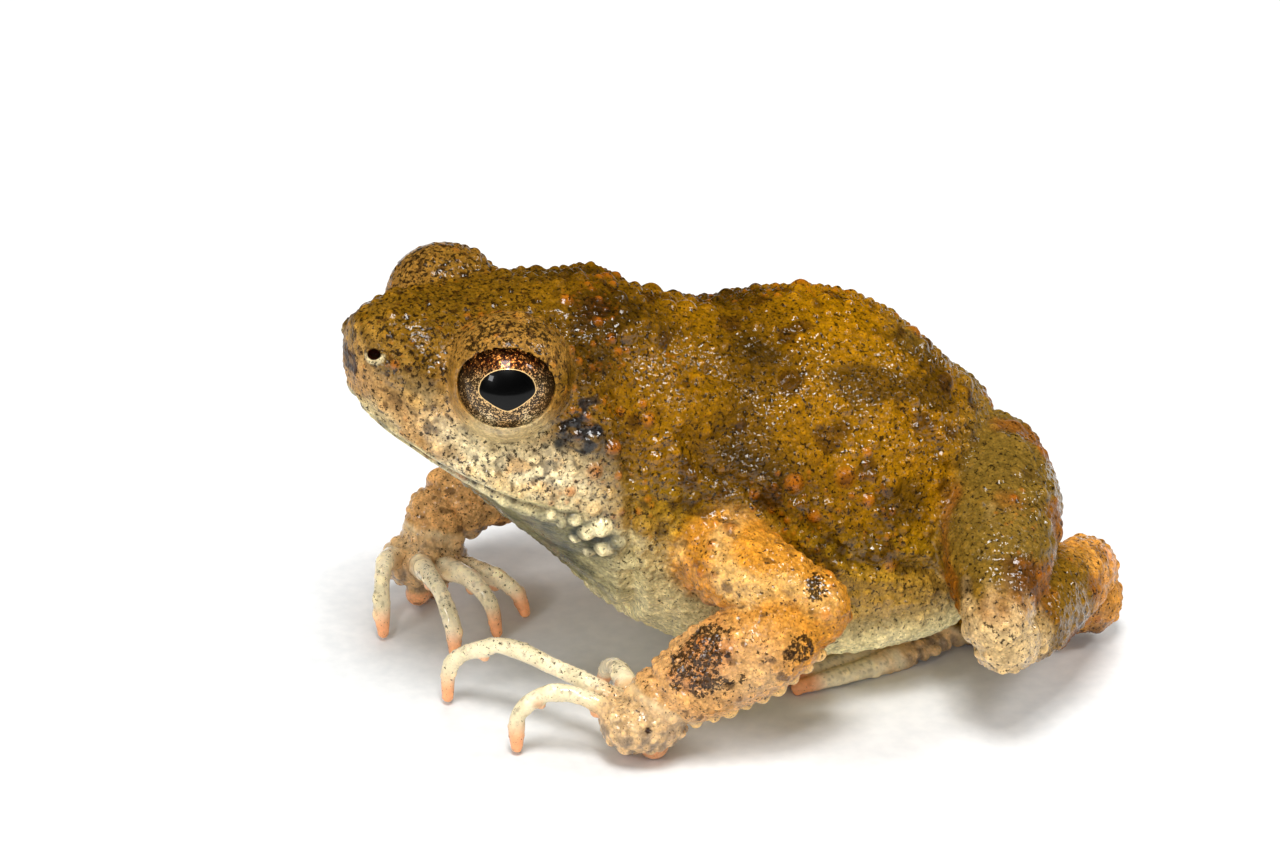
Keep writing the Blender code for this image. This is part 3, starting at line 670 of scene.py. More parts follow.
def toe_path(side: Side, number: int) -> Tuple[Point, ...]:
    """Points along one toe, from the foot to its tip.

    Args:
        side: left or right.
        number: which toe, counted from the inner one.

    Returns:
        The points.
    """
    base_turn, tip_turn = math.radians(TOE_BASE_TURNS[number]), math.radians(TOE_TIP_TURNS[number])
    base = np.array((FOOT[0] + math.sin(base_turn) * FOOT_AXES[0] * 0.8,
                     FOOT[1] - math.cos(base_turn) * FOOT_AXES[1] * 0.8, 0.0))
    tip = base + np.array((math.sin(tip_turn), -math.cos(tip_turn), 0)) * (TOE_LENGTHS[number] + 0.5)
    made = []
    for share, height in ((0, 0.06), (0.35, 0.10), (0.7, 0.08), (1, -0.04)):
        bend = (tip_turn - base_turn) * share * (1 - share) * TOE_LENGTHS[number] * 0.25
        spot = base + (tip - base) * share - np.array((bend, 0, 0))
        spot[2] = TOE_RADIUS + height
        made.append(tuple(side.place(spot)))
    return tuple(made)


@dataclass
class Limbs:
    """Every limb and digit of the frog, and its hands and feet."""

    finger_radius: float = 0.275
    tubes: List[Limb] = field(default_factory=list)
    pads: List[Tuple[Point, Point]] = field(default_factory=list)
    tips: List[Point] = field(default_factory=list)
    tubercles: List[Tuple[Point, float]] = field(default_factory=list)

    def __post_init__(self) -> None:
        """Lay out both sides."""
        for side in Side:
            self._arm(side)
            self._leg(side)

    def _arm(self, side: Side) -> None:
        """One foreleg with its palm, tubercles and fingers.

        Args:
            side: left or right.
        """
        left = side is Side.LEFT
        paths = LEFT_ARM_PATHS if left else RIGHT_ARM_PATHS
        for name, path, radii in zip(("upper_arm", "forearm"), paths, ARM_RADII):
            self.tubes.append(Limb(f"{name}_{side.label}", Zone.ARM, path, radii))
        palm = LEFT_PALM if left else RIGHT_PALM
        wrist = (paths[1][2], paths[1][3], (palm[0] - 0.1 * np.sign(palm[0]), palm[1] - 0.3, palm[2] + 0.1))
        self.tubes.append(Limb(f"wrist_{side.label}", Zone.ARM, wrist, WRIST_RADII))
        self.pads.append((palm, PALM_AXES))
        heel = (palm[0], palm[1] + 0.35, 0.55)
        ball_pad = (palm[0] * 0.93, palm[1] - 0.5, 0.58)
        self.tubercles += [(heel, 0.58), (ball_pad, 0.50)]
        for path in (LEFT_FINGERS if left else RIGHT_FINGERS):
            name = f"finger_{side.label}_{len(self.tips)}"
            self.tubes.append(Limb(name, Zone.HAND, path, digit_radii(len(path), self.finger_radius), 24))
            self.tips.append(path[-1])
            for joint, size in ((path[len(path) // 2], 0.20), (path[1], 0.25)):
                self.tubercles.append(((joint[0], joint[1], joint[2] - 0.36), size))

    def _leg(self, side: Side) -> None:
        """One hind leg with its foot and toes.

        Args:
            side: left or right.
        """
        for name, path, radii in LEG_PATHS:
            placed = tuple(tuple(side.place(p)) for p in path)
            self.tubes.append(Limb(f"{name}_{side.label}", Zone.LEG, placed, radii))
        self.pads.append((tuple(side.place(FOOT)), FOOT_AXES))
        for number in range(len(TOE_LENGTHS)):
            path = toe_path(side, number)
            self.tubes.append(Limb(f"toe_{side.label}_{number}", Zone.FOOT, path,
                                   digit_radii(len(path), TOE_RADIUS), 24))
            self.tips.append(path[-1])


def object_from(name: str, mesh: Mesh) -> bpy.types.Object:
    """A new object in the scene.

    Args:
        name: its name.
        mesh: its vertices and triangles.

    Returns:
        The object.
    """
    data = bpy.data.meshes.new(name)
    data.from_pydata(mesh[0].tolist(), [], mesh[1].tolist())
    data.update()
    made = bpy.data.objects.new(name, data)
    bpy.context.scene.collection.objects.link(made)
    return made


def join_meshes(meshes: Sequence[Mesh]) -> Mesh:
    """Several meshes as one, still lying through one another.

    Args:
        meshes: vertices and triangles of each.

    Returns:
        Vertices and triangles of all.
    """
    points, faces, offset = [], [], 0
    for mesh_points, mesh_faces in meshes:
        points.append(mesh_points)
        faces.append(mesh_faces + offset)
        offset += len(mesh_points)
    return np.vstack(points), np.vstack(faces)


def arrays_of(thing: bpy.types.Object) -> Mesh:
    """The mesh of an object as its modifiers leave it.

    Args:
        thing: the object.

    Returns:
        Vertices and triangles.
    """
    evaluated = thing.evaluated_get(bpy.context.evaluated_depsgraph_get())
    data = bpy.data.meshes.new_from_object(evaluated)
    points = np.empty(len(data.vertices) * 3)
    data.vertices.foreach_get("co", points)
    data.calc_loop_triangles()
    faces = np.empty(len(data.loop_triangles) * 3, int)
    data.loop_triangles.foreach_get("vertices", faces)
    bpy.data.meshes.remove(data)
    return points.reshape(-1, 3), faces.reshape(-1, 3)


def boolean(base: Mesh, tools: Sequence[Mesh], change: Change) -> Mesh:
    """One Boolean of a closed mesh with several others.

    Args:
        base: the mesh that is changed.
        tools: closed meshes to add or cut.
        change: which of the two.

    Returns:
        The changed mesh.
    """
    thing = object_from("base", base)
    helpers = [object_from("tool", tool) for tool in tools]
    for helper in helpers:
        step = thing.modifiers.new(change.name.lower(), "BOOLEAN")
        step.operation, step.object, step.solver = change.value, helper, "MANIFOLD"
    bpy.context.view_layer.update()
    result = arrays_of(thing)
    for made in [thing] + helpers:
        bpy.data.objects.remove(made, do_unlink=True)
    return result


def remesh(mesh: Mesh, voxel: float) -> Tuple[np.ndarray, np.ndarray]:
    """Fuse overlapping closed meshes into one even surface of small quads.

    Args:
        mesh: the meshes, joined.
        voxel: edge length of the quads, in the mesh's units.

    Returns:
        Vertices and quads.
    """
    thing = object_from("core", mesh)
    fuse = thing.modifiers.new("fuse", "REMESH")
    fuse.mode, fuse.voxel_size, fuse.adaptivity = "VOXEL", voxel, 0.0
    bpy.context.view_layer.update()
    evaluated = thing.evaluated_get(bpy.context.evaluated_depsgraph_get())
    data = bpy.data.meshes.new_from_object(evaluated)
    points = np.empty(len(data.vertices) * 3)
    data.vertices.foreach_get("co", points)
    quads = np.empty(len(data.loops), int)
    data.loops.foreach_get("vertex_index", quads)
    bpy.data.meshes.remove(data)
    bpy.data.objects.remove(thing, do_unlink=True)
    return points.reshape(-1, 3), quads.reshape(-1, 4)


def edges_of(quads: np.ndarray) -> np.ndarray:
    """Each pair of neighbouring vertices once."""
    pairs = np.vstack([quads[:, [k, (k + 1) % 4]] for k in range(4)])
    return np.unique(np.sort(pairs, axis=1), axis=0)


def smoothed(values: np.ndarray, edges: np.ndarray, rounds: int, weight: np.ndarray) -> np.ndarray:
    """Values relaxed towards their neighbours' mean.

    Args:
        values: one row for each vertex.
        edges: pairs of neighbours.
        rounds: how often.
        weight: how far each vertex goes, 0 to 1.

    Returns:
        The relaxed values.
    """
    count = np.bincount(edges.ravel(), minlength=len(values)).astype(float)
    made = values.copy()
    for _ in range(rounds):
        total = np.zeros_like(made)
        for axis in range(made.shape[1]):
            total[:, axis] = (np.bincount(edges[:, 0], made[edges[:, 1], axis], len(values))
                              + np.bincount(edges[:, 1], made[edges[:, 0], axis], len(values)))
        made += (total / count[:, None] - made) * weight[:, None]
    return made


def normals_of(points: np.ndarray, quads: np.ndarray) -> np.ndarray:
    """Outward unit normals at the vertices.

    Args:
        points: the vertices.
        quads: four vertex numbers for each face.

    Returns:
        One unit vector for each vertex.
    """
    a, b, c, d = (points[quads[:, k]] for k in range(4))
    face = np.cross(c - a, d - b)
    made = np.zeros_like(points)
    for k in range(4):
        for axis in range(3):
            made[:, axis] += np.bincount(quads[:, k], face[:, axis], len(points))
    return made / (np.linalg.norm(made, axis=1)[:, None] + 1e-12)


# Millimetres, farther than anything on the frog.
FAR = 1e3


def gap_to(points: np.ndarray, path: np.ndarray, reach: float) -> np.ndarray:
    """Distance from every vertex to a path of close points.

    Args:
        points: the vertices.
        path: points along the path.
        reach: how far from it the distance is exact.

    Returns:
        One distance for each vertex.
    """
    gap = np.full(len(points), FAR)
    low, high = path.min(axis=0) - reach, path.max(axis=0) + reach
    near = np.where(((points > low) & (points < high)).all(axis=1))[0]
    for spot in path:
        gap[near] = np.minimum(gap[near], np.linalg.norm(points[near] - spot, axis=1))
    return gap


def wave_noise(points: np.ndarray, size: float, seed: int, waves: int = 14) -> np.ndarray:
    """Soft random values, nearly all from -1 to 1.

    Args:
        points: where to read them.
        size: how wide the patches are, in millimetres.
        seed: which pattern.
        waves: how many waves are laid over each other.

    Returns:
        One value for each point.
    """
    draw = np.random.default_rng(seed)
    made = np.zeros(len(points))
    for _ in range(waves):
        direction = draw.normal(size=3)
        direction *= (2 * math.pi / (2.2 * size)) * draw.uniform(0.6, 1.4) / np.linalg.norm(direction)
        made += np.sin(points @ direction + draw.uniform(0, 2 * math.pi))
    return made / (waves / 2) ** 0.5 / 1.6


@dataclass(frozen=True)
class WartCrop:
    """One population of warts: their radii, how close they stand and how high they rise."""

    smallest: float
    largest: float
    room: float
    height: float
    limit: int
    seed: int


@dataclass
class FrogSkin:
    """The whole skin as one fine mesh, with its warts, folds and markings."""

    trunk: Trunk
    head: HeadPlan
    limbs: Limbs
    marks: Markings = Markings()
    voxel: float = 0.072
    step_rounds: int = 4
    joint_rounds: int = 26
    crops: Tuple[WartCrop, ...] = (
        WartCrop(0.28, 0.44, 1.05, 0.62, 300, 3),
        WartCrop(0.14, 0.26, 0.98, 0.70, 3200, 5),
        WartCrop(0.075, 0.125, 0.98, 0.66, 17000, 7),
    )

    def _head_mesh(self) -> Mesh:
        """Trunk with lips, brows and nostril rims, then mouth, nostrils and sockets cut out.

        Returns:
            Vertices and triangles.
        """
        plan, added, cut = self.head, [], []
        thin, gain = plan.lip_taper
        for lift, radius in zip(plan.lip_lift, (plan.upper_lip, plan.lower_lip)):
            path = self.trunk.mouth_path(radius * lift, radius * plan.lip_inset)
            end = np.minimum(np.arange(len(path)), np.arange(len(path))[::-1]) / plan.lip_taper_steps
            added.append(tube(path, radius * (thin + gain * np.clip(end, 0, 1)), 20))
        line = self.trunk.mouth_path(0.0, 0.0)
        cut.append(tube(line, np.full(len(line), plan.mouth_radius), 14))
        for side in Side:
            eye, axis = side.place(plan.eye), side.place(plan.eye_axis)
            axis /= np.linalg.norm(axis)
            added.append(ball(eye + side.place(plan.brow_shift), [plan.lid_outer] * 3, sides=64))
            added.append(ball(eye, [plan.eye_radius + plan.lid_skin] * 3, sides=64))
            added.append(ball(side.place(plan.nostril), [plan.nostril_rim] * 3, sides=24))
            hole = plan.nostril_hole
            cut.append(ball(plan.nostril_mouth(side), (hole * 1.3, hole, plan.nostril_depth),
                            aim(side.place(plan.nostril_axis)), 20))
            cut.append(ball(eye, [plan.eye_radius + plan.socket_play] * 3, sides=64))
            out, depth = plan.lid_depth
            cut.append(ball(eye + axis * out, (*plan.lid_opening, depth), aim(axis), 64))
        return boolean(boolean(self.trunk.mesh(), added, Change.ADD), cut, Change.CUT)

    def rim_path(self, side: Side) -> np.ndarray:
        """The middle of the rolled edge of both lids, all round one eye's opening.

        Args:
            side: left or right.

        Returns:
            Points along it.
        """
        plan = self.head
        turn = np.linspace(0, 2 * math.pi + 0.1, 90)
        seat = plan.lid_rim * plan.rim_seat
        across = (plan.lid_opening[0] + seat) * np.cos(turn)
        up = (plan.lid_opening[1] + seat) * np.sin(turn)
        reach = plan.eye_radius + seat
        out = np.sqrt(np.maximum(reach**2 - across**2 - up**2, 0.02))
        path = np.stack([across, up, out], axis=1) @ aim(side.place(plan.eye_axis)).T
        return path + side.place(plan.eye)

    def _lid_rim(self, side: Side) -> Mesh:
        """The rolled edge of both lids as a closed tube."""
        path = self.rim_path(side)
        return tube(path, np.full(len(path), self.head.lid_rim), 16)

    def _core(self) -> Tuple[np.ndarray, np.ndarray]:
        """All the flesh fused into one even surface.

        Returns:
            Vertices and quads.
        """
        meshes = [self._head_mesh()] + [self._lid_rim(side) for side in Side]
        meshes += [limb.mesh() for limb in self.limbs.tubes]
        meshes += [ball(centre, axes) for centre, axes in self.limbs.pads]
        meshes += [ball(centre, [size] * 3, sides=20) for centre, size in self.limbs.tubercles]
        return remesh(join_meshes(meshes), self.voxel)

    def limb_distance(self, points: np.ndarray) -> Tuple[np.ndarray, np.ndarray]:
        """How far every point lies outside the nearest limb.

        Args:
            points: where to measure.

        Returns:
            Distance from that limb's skin, and the limb's number, or -1 where none is near.
        """
        nearest = np.full(len(points), FAR)
        which = np.full(len(points), -1)
        for number, limb in enumerate(self.limbs.tubes):
            middle, radius = limb.path(20)
            low, high = middle.min(axis=0) - 4, middle.max(axis=0) + 4
            near = np.where(((points > low) & (points < high)).all(axis=1))[0]
            gap = np.full(len(near), FAR)
            for spot, size in zip(middle, radius):
                gap = np.minimum(gap, np.linalg.norm(points[near] - spot, axis=1) - size)
            closer = gap < nearest[near]
            nearest[near[closer]] = gap[closer]
            which[near[closer]] = number
        return nearest, which

    def build(self) -> "SkinSurface":
        """Make the surface and the masks of its vertices.

        Returns:
            The surface, with folds and warts.
        """
        points, quads = self._core()
        log.info("core of %d vertices", len(points))
        edges = edges_of(quads)
        eye_room = self._feature_room(points)
        distance, _ = self.limb_distance(points)
        trunk_gap = self.trunk_gap(points)
        # Where limbs and brows grow out of the trunk, the skin is rounded most.
        joint = np.exp(-((np.maximum(distance, 0) + np.maximum(trunk_gap, 0)) / 0.5) ** 2)
        joint *= (distance > -0.9) & (trunk_gap > -0.9)
        for side in Side:
            middle = side.place(self.head.eye) + side.place(self.head.brow_shift)
            brow_gap = np.abs(np.linalg.norm(points - middle, axis=1) - self.head.lid_outer)
            joint = np.maximum(joint, np.exp(-((brow_gap + np.abs(trunk_gap)) / 0.55) ** 2))
        # Elsewhere only the voxel steps are relaxed, and the lid edges a little.
        weight = np.clip(0.35 + 0.4 * joint, 0, 0.8) * eye_room
        rim_gap = np.min([gap_to(points, self.rim_path(side), 0.9) for side in Side], axis=0)
        brow_edge = smoothstep(0.75, 0.45, rim_gap) * smoothstep(0.16, 0.30, rim_gap)
        weight = np.maximum(weight * 0.8, 0.20 + 0.40 * brow_edge)
        points = smoothed(points, edges, self.step_rounds, weight)
        points = smoothed(points, edges, self.joint_rounds, joint * 0.7 * eye_room)
        surface = SkinSurface(self, points, quads, edges)
        surface.press_folds()
        surface.raise_warts()
        return surface

    def trunk_gap(self, points: np.ndarray) -> np.ndarray:
        """Rough distance from the trunk's skin.

        Args:
            points: where to measure.

        Returns:
            One distance for each point, below zero inside the trunk.
        """
        y = np.clip(points[:, 1], self.trunk.snout_y, self.trunk.rump_y)
        row = self.trunk.rows(y)
        up = points[:, 2] >= row[:, 1]
        power = np.where(up, row[:, 4], row[:, 5])
        rise = np.where(up, row[:, 0] - row[:, 1], row[:, 1] - row[:, 2])
        across = np.abs(points[:, 0]) / row[:, 3]
        height = np.abs(points[:, 2] - row[:, 1]) / rise
        reach = (across**power + height**power) ** (1 / power)
        return (reach - 1) * np.minimum(row[:, 3], rise) + np.abs(points[:, 1] - y)

    def _feature_room(self, points: np.ndarray) -> np.ndarray:
        """Where the skin may be smoothed.

        Args:
            points: the vertices.

        Returns:
            1 on open skin and 0 at lids, nostrils and mouth, which keep their shape.
        """
        made = np.ones(len(points))
        for side in Side:
            axis = side.place(self.head.eye_axis)
            away = points - side.place(self.head.eye)
            gap = np.linalg.norm(away, axis=1)
            ahead = away @ (axis / np.linalg.norm(axis)) / np.maximum(gap, 1e-6)
            rim = np.where(ahead > 0.0, gap, 9.0)
            made = np.minimum(made, smoothstep(0.20, 0.50, rim - self.head.eye_radius))
            gap = np.linalg.norm(points - self.head.nostril_mouth(side), axis=1)
            made = np.minimum(made, smoothstep(0.35, 0.6, gap))
        mouth = gap_to(points, self.trunk.mouth_path(0.0, 0.0, 200), 0.5)
        return np.minimum(made, 0.15 + smoothstep(0.15, 0.40, mouth))


@dataclass
class Paint:
    """Linear colour at every vertex, laid on in coats."""

    base: np.ndarray

    def lay(self, colour: str, mask: np.ndarray) -> None:
        """Lay a colour over the base where the mask is high."""
        share = np.clip(mask, 0, 1)[:, None]
        self.base = self.base * (1 - share) + np.array(linear(colour)[:3]) * share


@dataclass(frozen=True)
class Clouds:
    """Soft random values at every vertex, with patches of about 3, 1.3 and 0.45 mm."""

    broad: np.ndarray
    patch: np.ndarray
    fine: np.ndarray


@dataclass(frozen=True)
class Wart:
    """One wart: where it stands, its size, and a tint from 0 to 1 that picks its colour."""

    spot: np.ndarray
    radius: float
    height: float
    tint: float


LIMB_STEPS = 60
FOREARM_WARTS = 9
FOREARM_WART_STEP = 6
# Heights of the placed warts as shares of their radii.
JAW_WART_STEEPNESS = 0.90
FOREARM_WART_STEEPNESS = 0.70


@dataclass
class SkinSurface:
    """The skin's vertices with the masks that its warts and colours read."""

    plan: FrogSkin
    points: np.ndarray
    quads: np.ndarray
    edges: np.ndarray

    def __post_init__(self) -> None:
        """Work out the masks of every vertex."""
        p = self.points
        self.normals = normals_of(p, self.quads)
        distance, which = self.plan.limb_distance(p)
        gap = self.plan.trunk_gap(p)
        zones = np.array([limb.zone.value for limb in self.plan.limbs.tubes])
        on_limb = smoothstep(0.55, -0.25, distance - gap * 0.9) * (which >= 0)
        zone = np.where(which >= 0, zones[which], Zone.BODY.value)
        self.zone_masks: Dict[Zone, np.ndarray] = {}
        for kind in (Zone.ARM, Zone.HAND, Zone.LEG, Zone.FOOT):
            raw = (on_limb * (zone == kind.value))[:, None]
            self.zone_masks[kind] = smoothed(raw, self.edges, 8, np.full(len(p), 0.6))[:, 0]
        for (centre, axes), kind in zip(self.plan.limbs.pads, (Zone.HAND, Zone.FOOT) * 2):
            reach = np.linalg.norm((p - np.array(centre)) / (np.array(axes) + 0.35), axis=1)
            inside = smoothstep(1.25, 0.9, reach)
            self.zone_masks[kind] = np.maximum(self.zone_masks[kind], inside)
            other = Zone.ARM if kind is Zone.HAND else Zone.LEG
            self.zone_masks[other] = self.zone_masks[other] * (1 - inside)
        self.wart = np.zeros(len(p))
        self.tint = np.zeros(len(p))
        eyes = [np.linalg.norm(p - side.place(self.plan.head.eye), axis=1) for side in Side]
        self.eye_gap = np.minimum(*eyes) - self.plan.head.eye_radius
        rims = [gap_to(p, self.plan.rim_path(side), 1.2) for side in Side]
        self.rim_gap = np.minimum(*rims)
        self.above_side = p[:, 2] - self.plan.trunk.line_height(p[:, 1])
        self.under = smoothstep(0.15, -0.75, self.normals[:, 2]) * (1 - self.limb_mask())
        below_jaw = smoothstep(0.1, -0.5, self.above_side) * smoothstep(11.5, 7.5, p[:, 1])
        self.under = np.clip(np.maximum(self.under, below_jaw * (1 - self.limb_mask())), 0, 1)
        self.under *= 1 - smoothstep(0.0, 0.35, self.above_side) * smoothstep(9.0, 7.5, p[:, 1])

    def limb_mask(self) -> np.ndarray:
        """1 on any limb."""
        return np.clip(sum(self.zone_masks.values()), 0, 1)

    def press_folds(self) -> None:
        """Press the folds into the skin and swell the glands behind the eyes."""
        lift = np.zeros(len(self.points))
        for side in Side:
            for crease in TRUNK_CREASES:
                line = self.plan.trunk.on_skin(crease.places, side)
                steps = np.linspace(0, len(line) - 1, 40)
                path = hermite(np.arange(len(line)), line, steps)
                gap = gap_to(self.points, path, crease.width * 4)
                groove = np.exp(-(gap / crease.width) ** 2)
                shoulder = np.exp(-((gap - crease.width * 2) / crease.width) ** 2)
                lift += crease.depth * (0.45 * shoulder - groove) * (1 - self.limb_mask())
            for place in self.plan.head.gland_places:
                lift += self._gland(place, side)
        for crease in LIMB_CREASES:
            for limb in self.plan.limbs.tubes:
                if limb.name.rsplit("_", 1)[0] == crease.limb:
                    lift -= self._ring_fold(limb, crease)
        self.points = self.points + self.normals * lift[:, None]
        self.normals = normals_of(self.points, self.quads)

    def _gland(self, place: Tuple[float, float], side: Side) -> np.ndarray:
        """Height of one long low swelling behind an eye.

        Args:
            place: distance behind the snout, and angle from the flank in half turns.
            side: left or right.

        Returns:
            One height for each vertex.
        """
        spot = self.plan.trunk.on_skin(((place[0], place[1] * math.pi),), side)[0]
        along, across = self.plan.head.gland_axes
        away = self.points - spot
        reach = np.hypot(away[:, 1] / along, np.hypot(away[:, 0], away[:, 2]) / across)
        return self.plan.head.gland_height * np.clip(1 - reach**2, 0, 1) ** 2

    def _ring_fold(self, limb: Limb, crease: LimbCrease) -> np.ndarray:
        """Depth of a fold round one limb.

        Args:
            limb: the limb.
            crease: the fold.

        Returns:
            One depth for each vertex.
        """
        middle, radius = limb.path(LIMB_STEPS)
        last = LIMB_STEPS - 1
        number = int(crease.share * last)
        ahead = middle[min(number + 1, last)] - middle[max(number - 1, 0)]
        away = self.points - middle[number]
        along = away @ (ahead / np.linalg.norm(ahead))
        near = smoothstep(radius[number] * 1.7, radius[number] * 1.2, np.linalg.norm(away, axis=1))
        return crease.depth * near * np.exp(-(along / crease.width) ** 2)

    def wart_strength(self) -> np.ndarray:
        """How strongly warts stand at each vertex.

        Returns:
            1 on the back and less on the smoother parts.
        """
        p, zones = self.points, self.zone_masks
        hands = zones[Zone.HAND] + zones[Zone.FOOT]
        smooth_parts = np.clip(hands * (0.93 - 0.65 * self.palms()), 0, 1)
        lids = smoothstep(0.34, 0.75, self.eye_gap) * smoothstep(0.55, 1.0, self.rim_gap)
        strength = (1 - smooth_parts) * (1 - 0.72 * self.under) * (0.04 + 0.96 * lids)
        strength *= 1 - 0.30 * smoothstep(9.0, 5.0, p[:, 1])
        lip = np.exp(-(self.above_side / 0.40) ** 2) * smoothstep(9.0, 7.0, p[:, 1])
        for side in Side:
            gap = np.linalg.norm(p - self.plan.head.nostril_mouth(side), axis=1)
            strength = strength * smoothstep(0.30, 0.50, gap)
        for centre, size in self.plan.limbs.tubercles:
            strength = strength * smoothstep(size * 1.05, size * 1.5, self._reach(centre))
        strength *= 0.10 + 0.90 * smoothstep(1.0, 2.6, p[:, 1])
        chin = self.under * smoothstep(9.5, 7.5, p[:, 1])
        strength = strength * (1 - 0.6 * chin) * (1 - 0.50 * zones[Zone.LEG])
        return strength * (1 - 0.8 * lip * (1 - self.limb_mask())) * (1 - 0.40 * zones[Zone.ARM])

    def raise_warts(self) -> None:
        """Raise every population of warts along the normals, largest first."""
        strength = self.wart_strength()
        tree = KDTree(len(self.points))
        for index, point in enumerate(self.points):
            tree.insert(point, index)
        tree.balance()
        lift = np.zeros(len(self.points))
        room = np.full(len(self.points), 9.0)
        for spots, steepness in ((self.jaw_spots(), JAW_WART_STEEPNESS),
                                 (self.forearm_spots(), FOREARM_WART_STEEPNESS)):
            for spot, radius in spots:
                self._dome(tree, lift, room, Wart(spot, radius, radius * steepness, 0.0), 1.0)
        for crop in self.plan.crops:
            made = self._sow(tree, lift, room, strength, crop)
            log.info("%d warts of about %.2f mm", made, crop.smallest + crop.largest)
        self.points = self.points + self.normals * lift[:, None]
        self.points[:, 2] = np.maximum(self.points[:, 2], 0.0)

    def jaw_spots(self) -> List[Tuple[np.ndarray, float]]:
        """The large pale warts at the angle of the jaw.

        Returns:
            The middle and the radius of each.
        """
        made = []
        for y, angle, radius in self.plan.head.jaw_warts:
            for side in Side:
                made.append((self.plan.trunk.on_skin(((y, angle),), side)[0], radius))
        return made

    def forearm_spots(self) -> List[Tuple[np.ndarray, float]]:
        """The row of pale warts along the outer lower edge of each forearm.

        Returns:
            The middle and the radius of each.
        """
        made = []
        for limb in self.plan.limbs.tubes:
            if not limb.name.startswith("forearm"):
                continue
            side = Side.LEFT if limb.name.endswith("left") else Side.RIGHT
            middle, radius = limb.path(LIMB_STEPS)
            for number in range(FOREARM_WARTS):
                step = (number + 1) * FOREARM_WART_STEP
                out = side.place(self.plan.marks.forearm_edge) * radius[step] * 1.02
                made.append((middle[step] + out, 0.36 - 0.05 * (number % 3)))
        return made

    def _sow(self, tree: KDTree, lift: np.ndarray, room: np.ndarray, strength: np.ndarray,
             crop: WartCrop) -> int:
        """Set one population of warts on random vertices kept apart from each other.

        Args:
            tree: the vertices, to find those near a place.
            lift: heights so far, which this adds to.
            room: how far each vertex lies outside the nearest wart.
            strength: how strongly warts stand at each vertex.
            crop: the population's sizes.

        Returns:
            How many were set.
        """
        draw = np.random.default_rng(SEED + crop.seed)
        made = 0
        for index in draw.permutation(len(self.points))[:crop.limit * 12]:
            if made >= crop.limit:
                break
            radius = crop.smallest + (crop.largest - crop.smallest) * draw.random() ** 1.5
            if room[index] < radius * crop.room or draw.random() > strength[index] * 1.15:
                continue
            height = radius * crop.height * (0.35 + 0.65 * strength[index])
            self._dome(tree, lift, room, Wart(self.points[index], radius, height, draw.random()),
                       crop.room)
            made += 1
        return made

    def _dome(self, tree: KDTree, lift: np.ndarray, room: np.ndarray, wart: Wart,
              spread: float) -> None:
        """Raise one rounded wart, and note the room that it leaves round itself.

        Args:
            tree: the vertices, to find those near the wart.
            lift: heights so far, which this adds to.
            room: how far each vertex lies outside the nearest wart.
            wart: the wart.
            spread: how much room it takes, in its radii.
        """
        found = tree.find_range(wart.spot, wart.radius * 2.3)
        if not found:
            return
        near = np.array([index for _, index, _ in found])
        away = np.array([gap for _, _, gap in found])
        room[near] = np.minimum(room[near], away - wart.radius * spread)
        shape = np.clip(1 - (away / (wart.radius * 1.15)) ** 2, 0, 1) ** 1.25
        lift[near] = np.maximum(lift[near], lift[near] * 0.4 + wart.height * shape)
        higher = near[shape > self.wart[near]]
        self.tint[higher] = wart.tint
        self.wart[near] = np.maximum(self.wart[near], shape * min(1.0, wart.radius / 0.2))

    def colours(self) -> Tuple[np.ndarray, np.ndarray]:
        """Base colour and masks at every vertex.

        Returns:
            Linear colours (vertices, 4) and masks: wart tint, wart tops, hands and belly.
        """
        p, c, marks = self.points, Palette(), self.plan.marks
        clouds = Clouds(*(wave_noise(p, size, seed) for size, seed in ((3.2, 11), (1.3, 12), (0.45, 13))))
        hands = np.clip(self.zone_masks[Zone.HAND] + self.zone_masks[Zone.FOOT], 0, 1)
        coat = Paint(np.repeat(np.array(linear(c.back)[:3])[None], len(p), axis=0))
        self._paint_back(coat, clouds)
        self._paint_face(coat, clouds)
        throat = self._paint_underside(coat, clouds)
        self._paint_forelegs(coat, clouds)
        self._paint_hind_legs(coat, clouds)
        self._paint_hands(coat, clouds, hands)
        self._paint_placed_warts(coat)
        self._paint_openings(coat, clouds)
        dark = self._dark_marks(clouds)
        blue = smoothstep(1.9, 1.2, np.minimum(*[self._reach(side.place(marks.ear)) for side in Side]))
        # The blotch colour also lays the painted shade inside the nostrils.
        coat.lay(c.blotch, dark * (1 - blue))
        coat.lay(c.ear, dark * blue)
        grainy = 0.7 * clouds.patch + 0.45 * wave_noise(p, 0.16, 29)
        coat.lay(c.slate, throat * 0.70 * smoothstep(-0.7, 0.9, clouds.fine + grainy))
        colour = np.concatenate([coat.base, np.ones((len(p), 1))], axis=1)
        masks = np.stack([self.tint, self.wart * (1 - dark), hands * (1 - 0.85 * self.palms()),
                          np.clip(self.under, 0, 1)], axis=1)
        return colour, masks

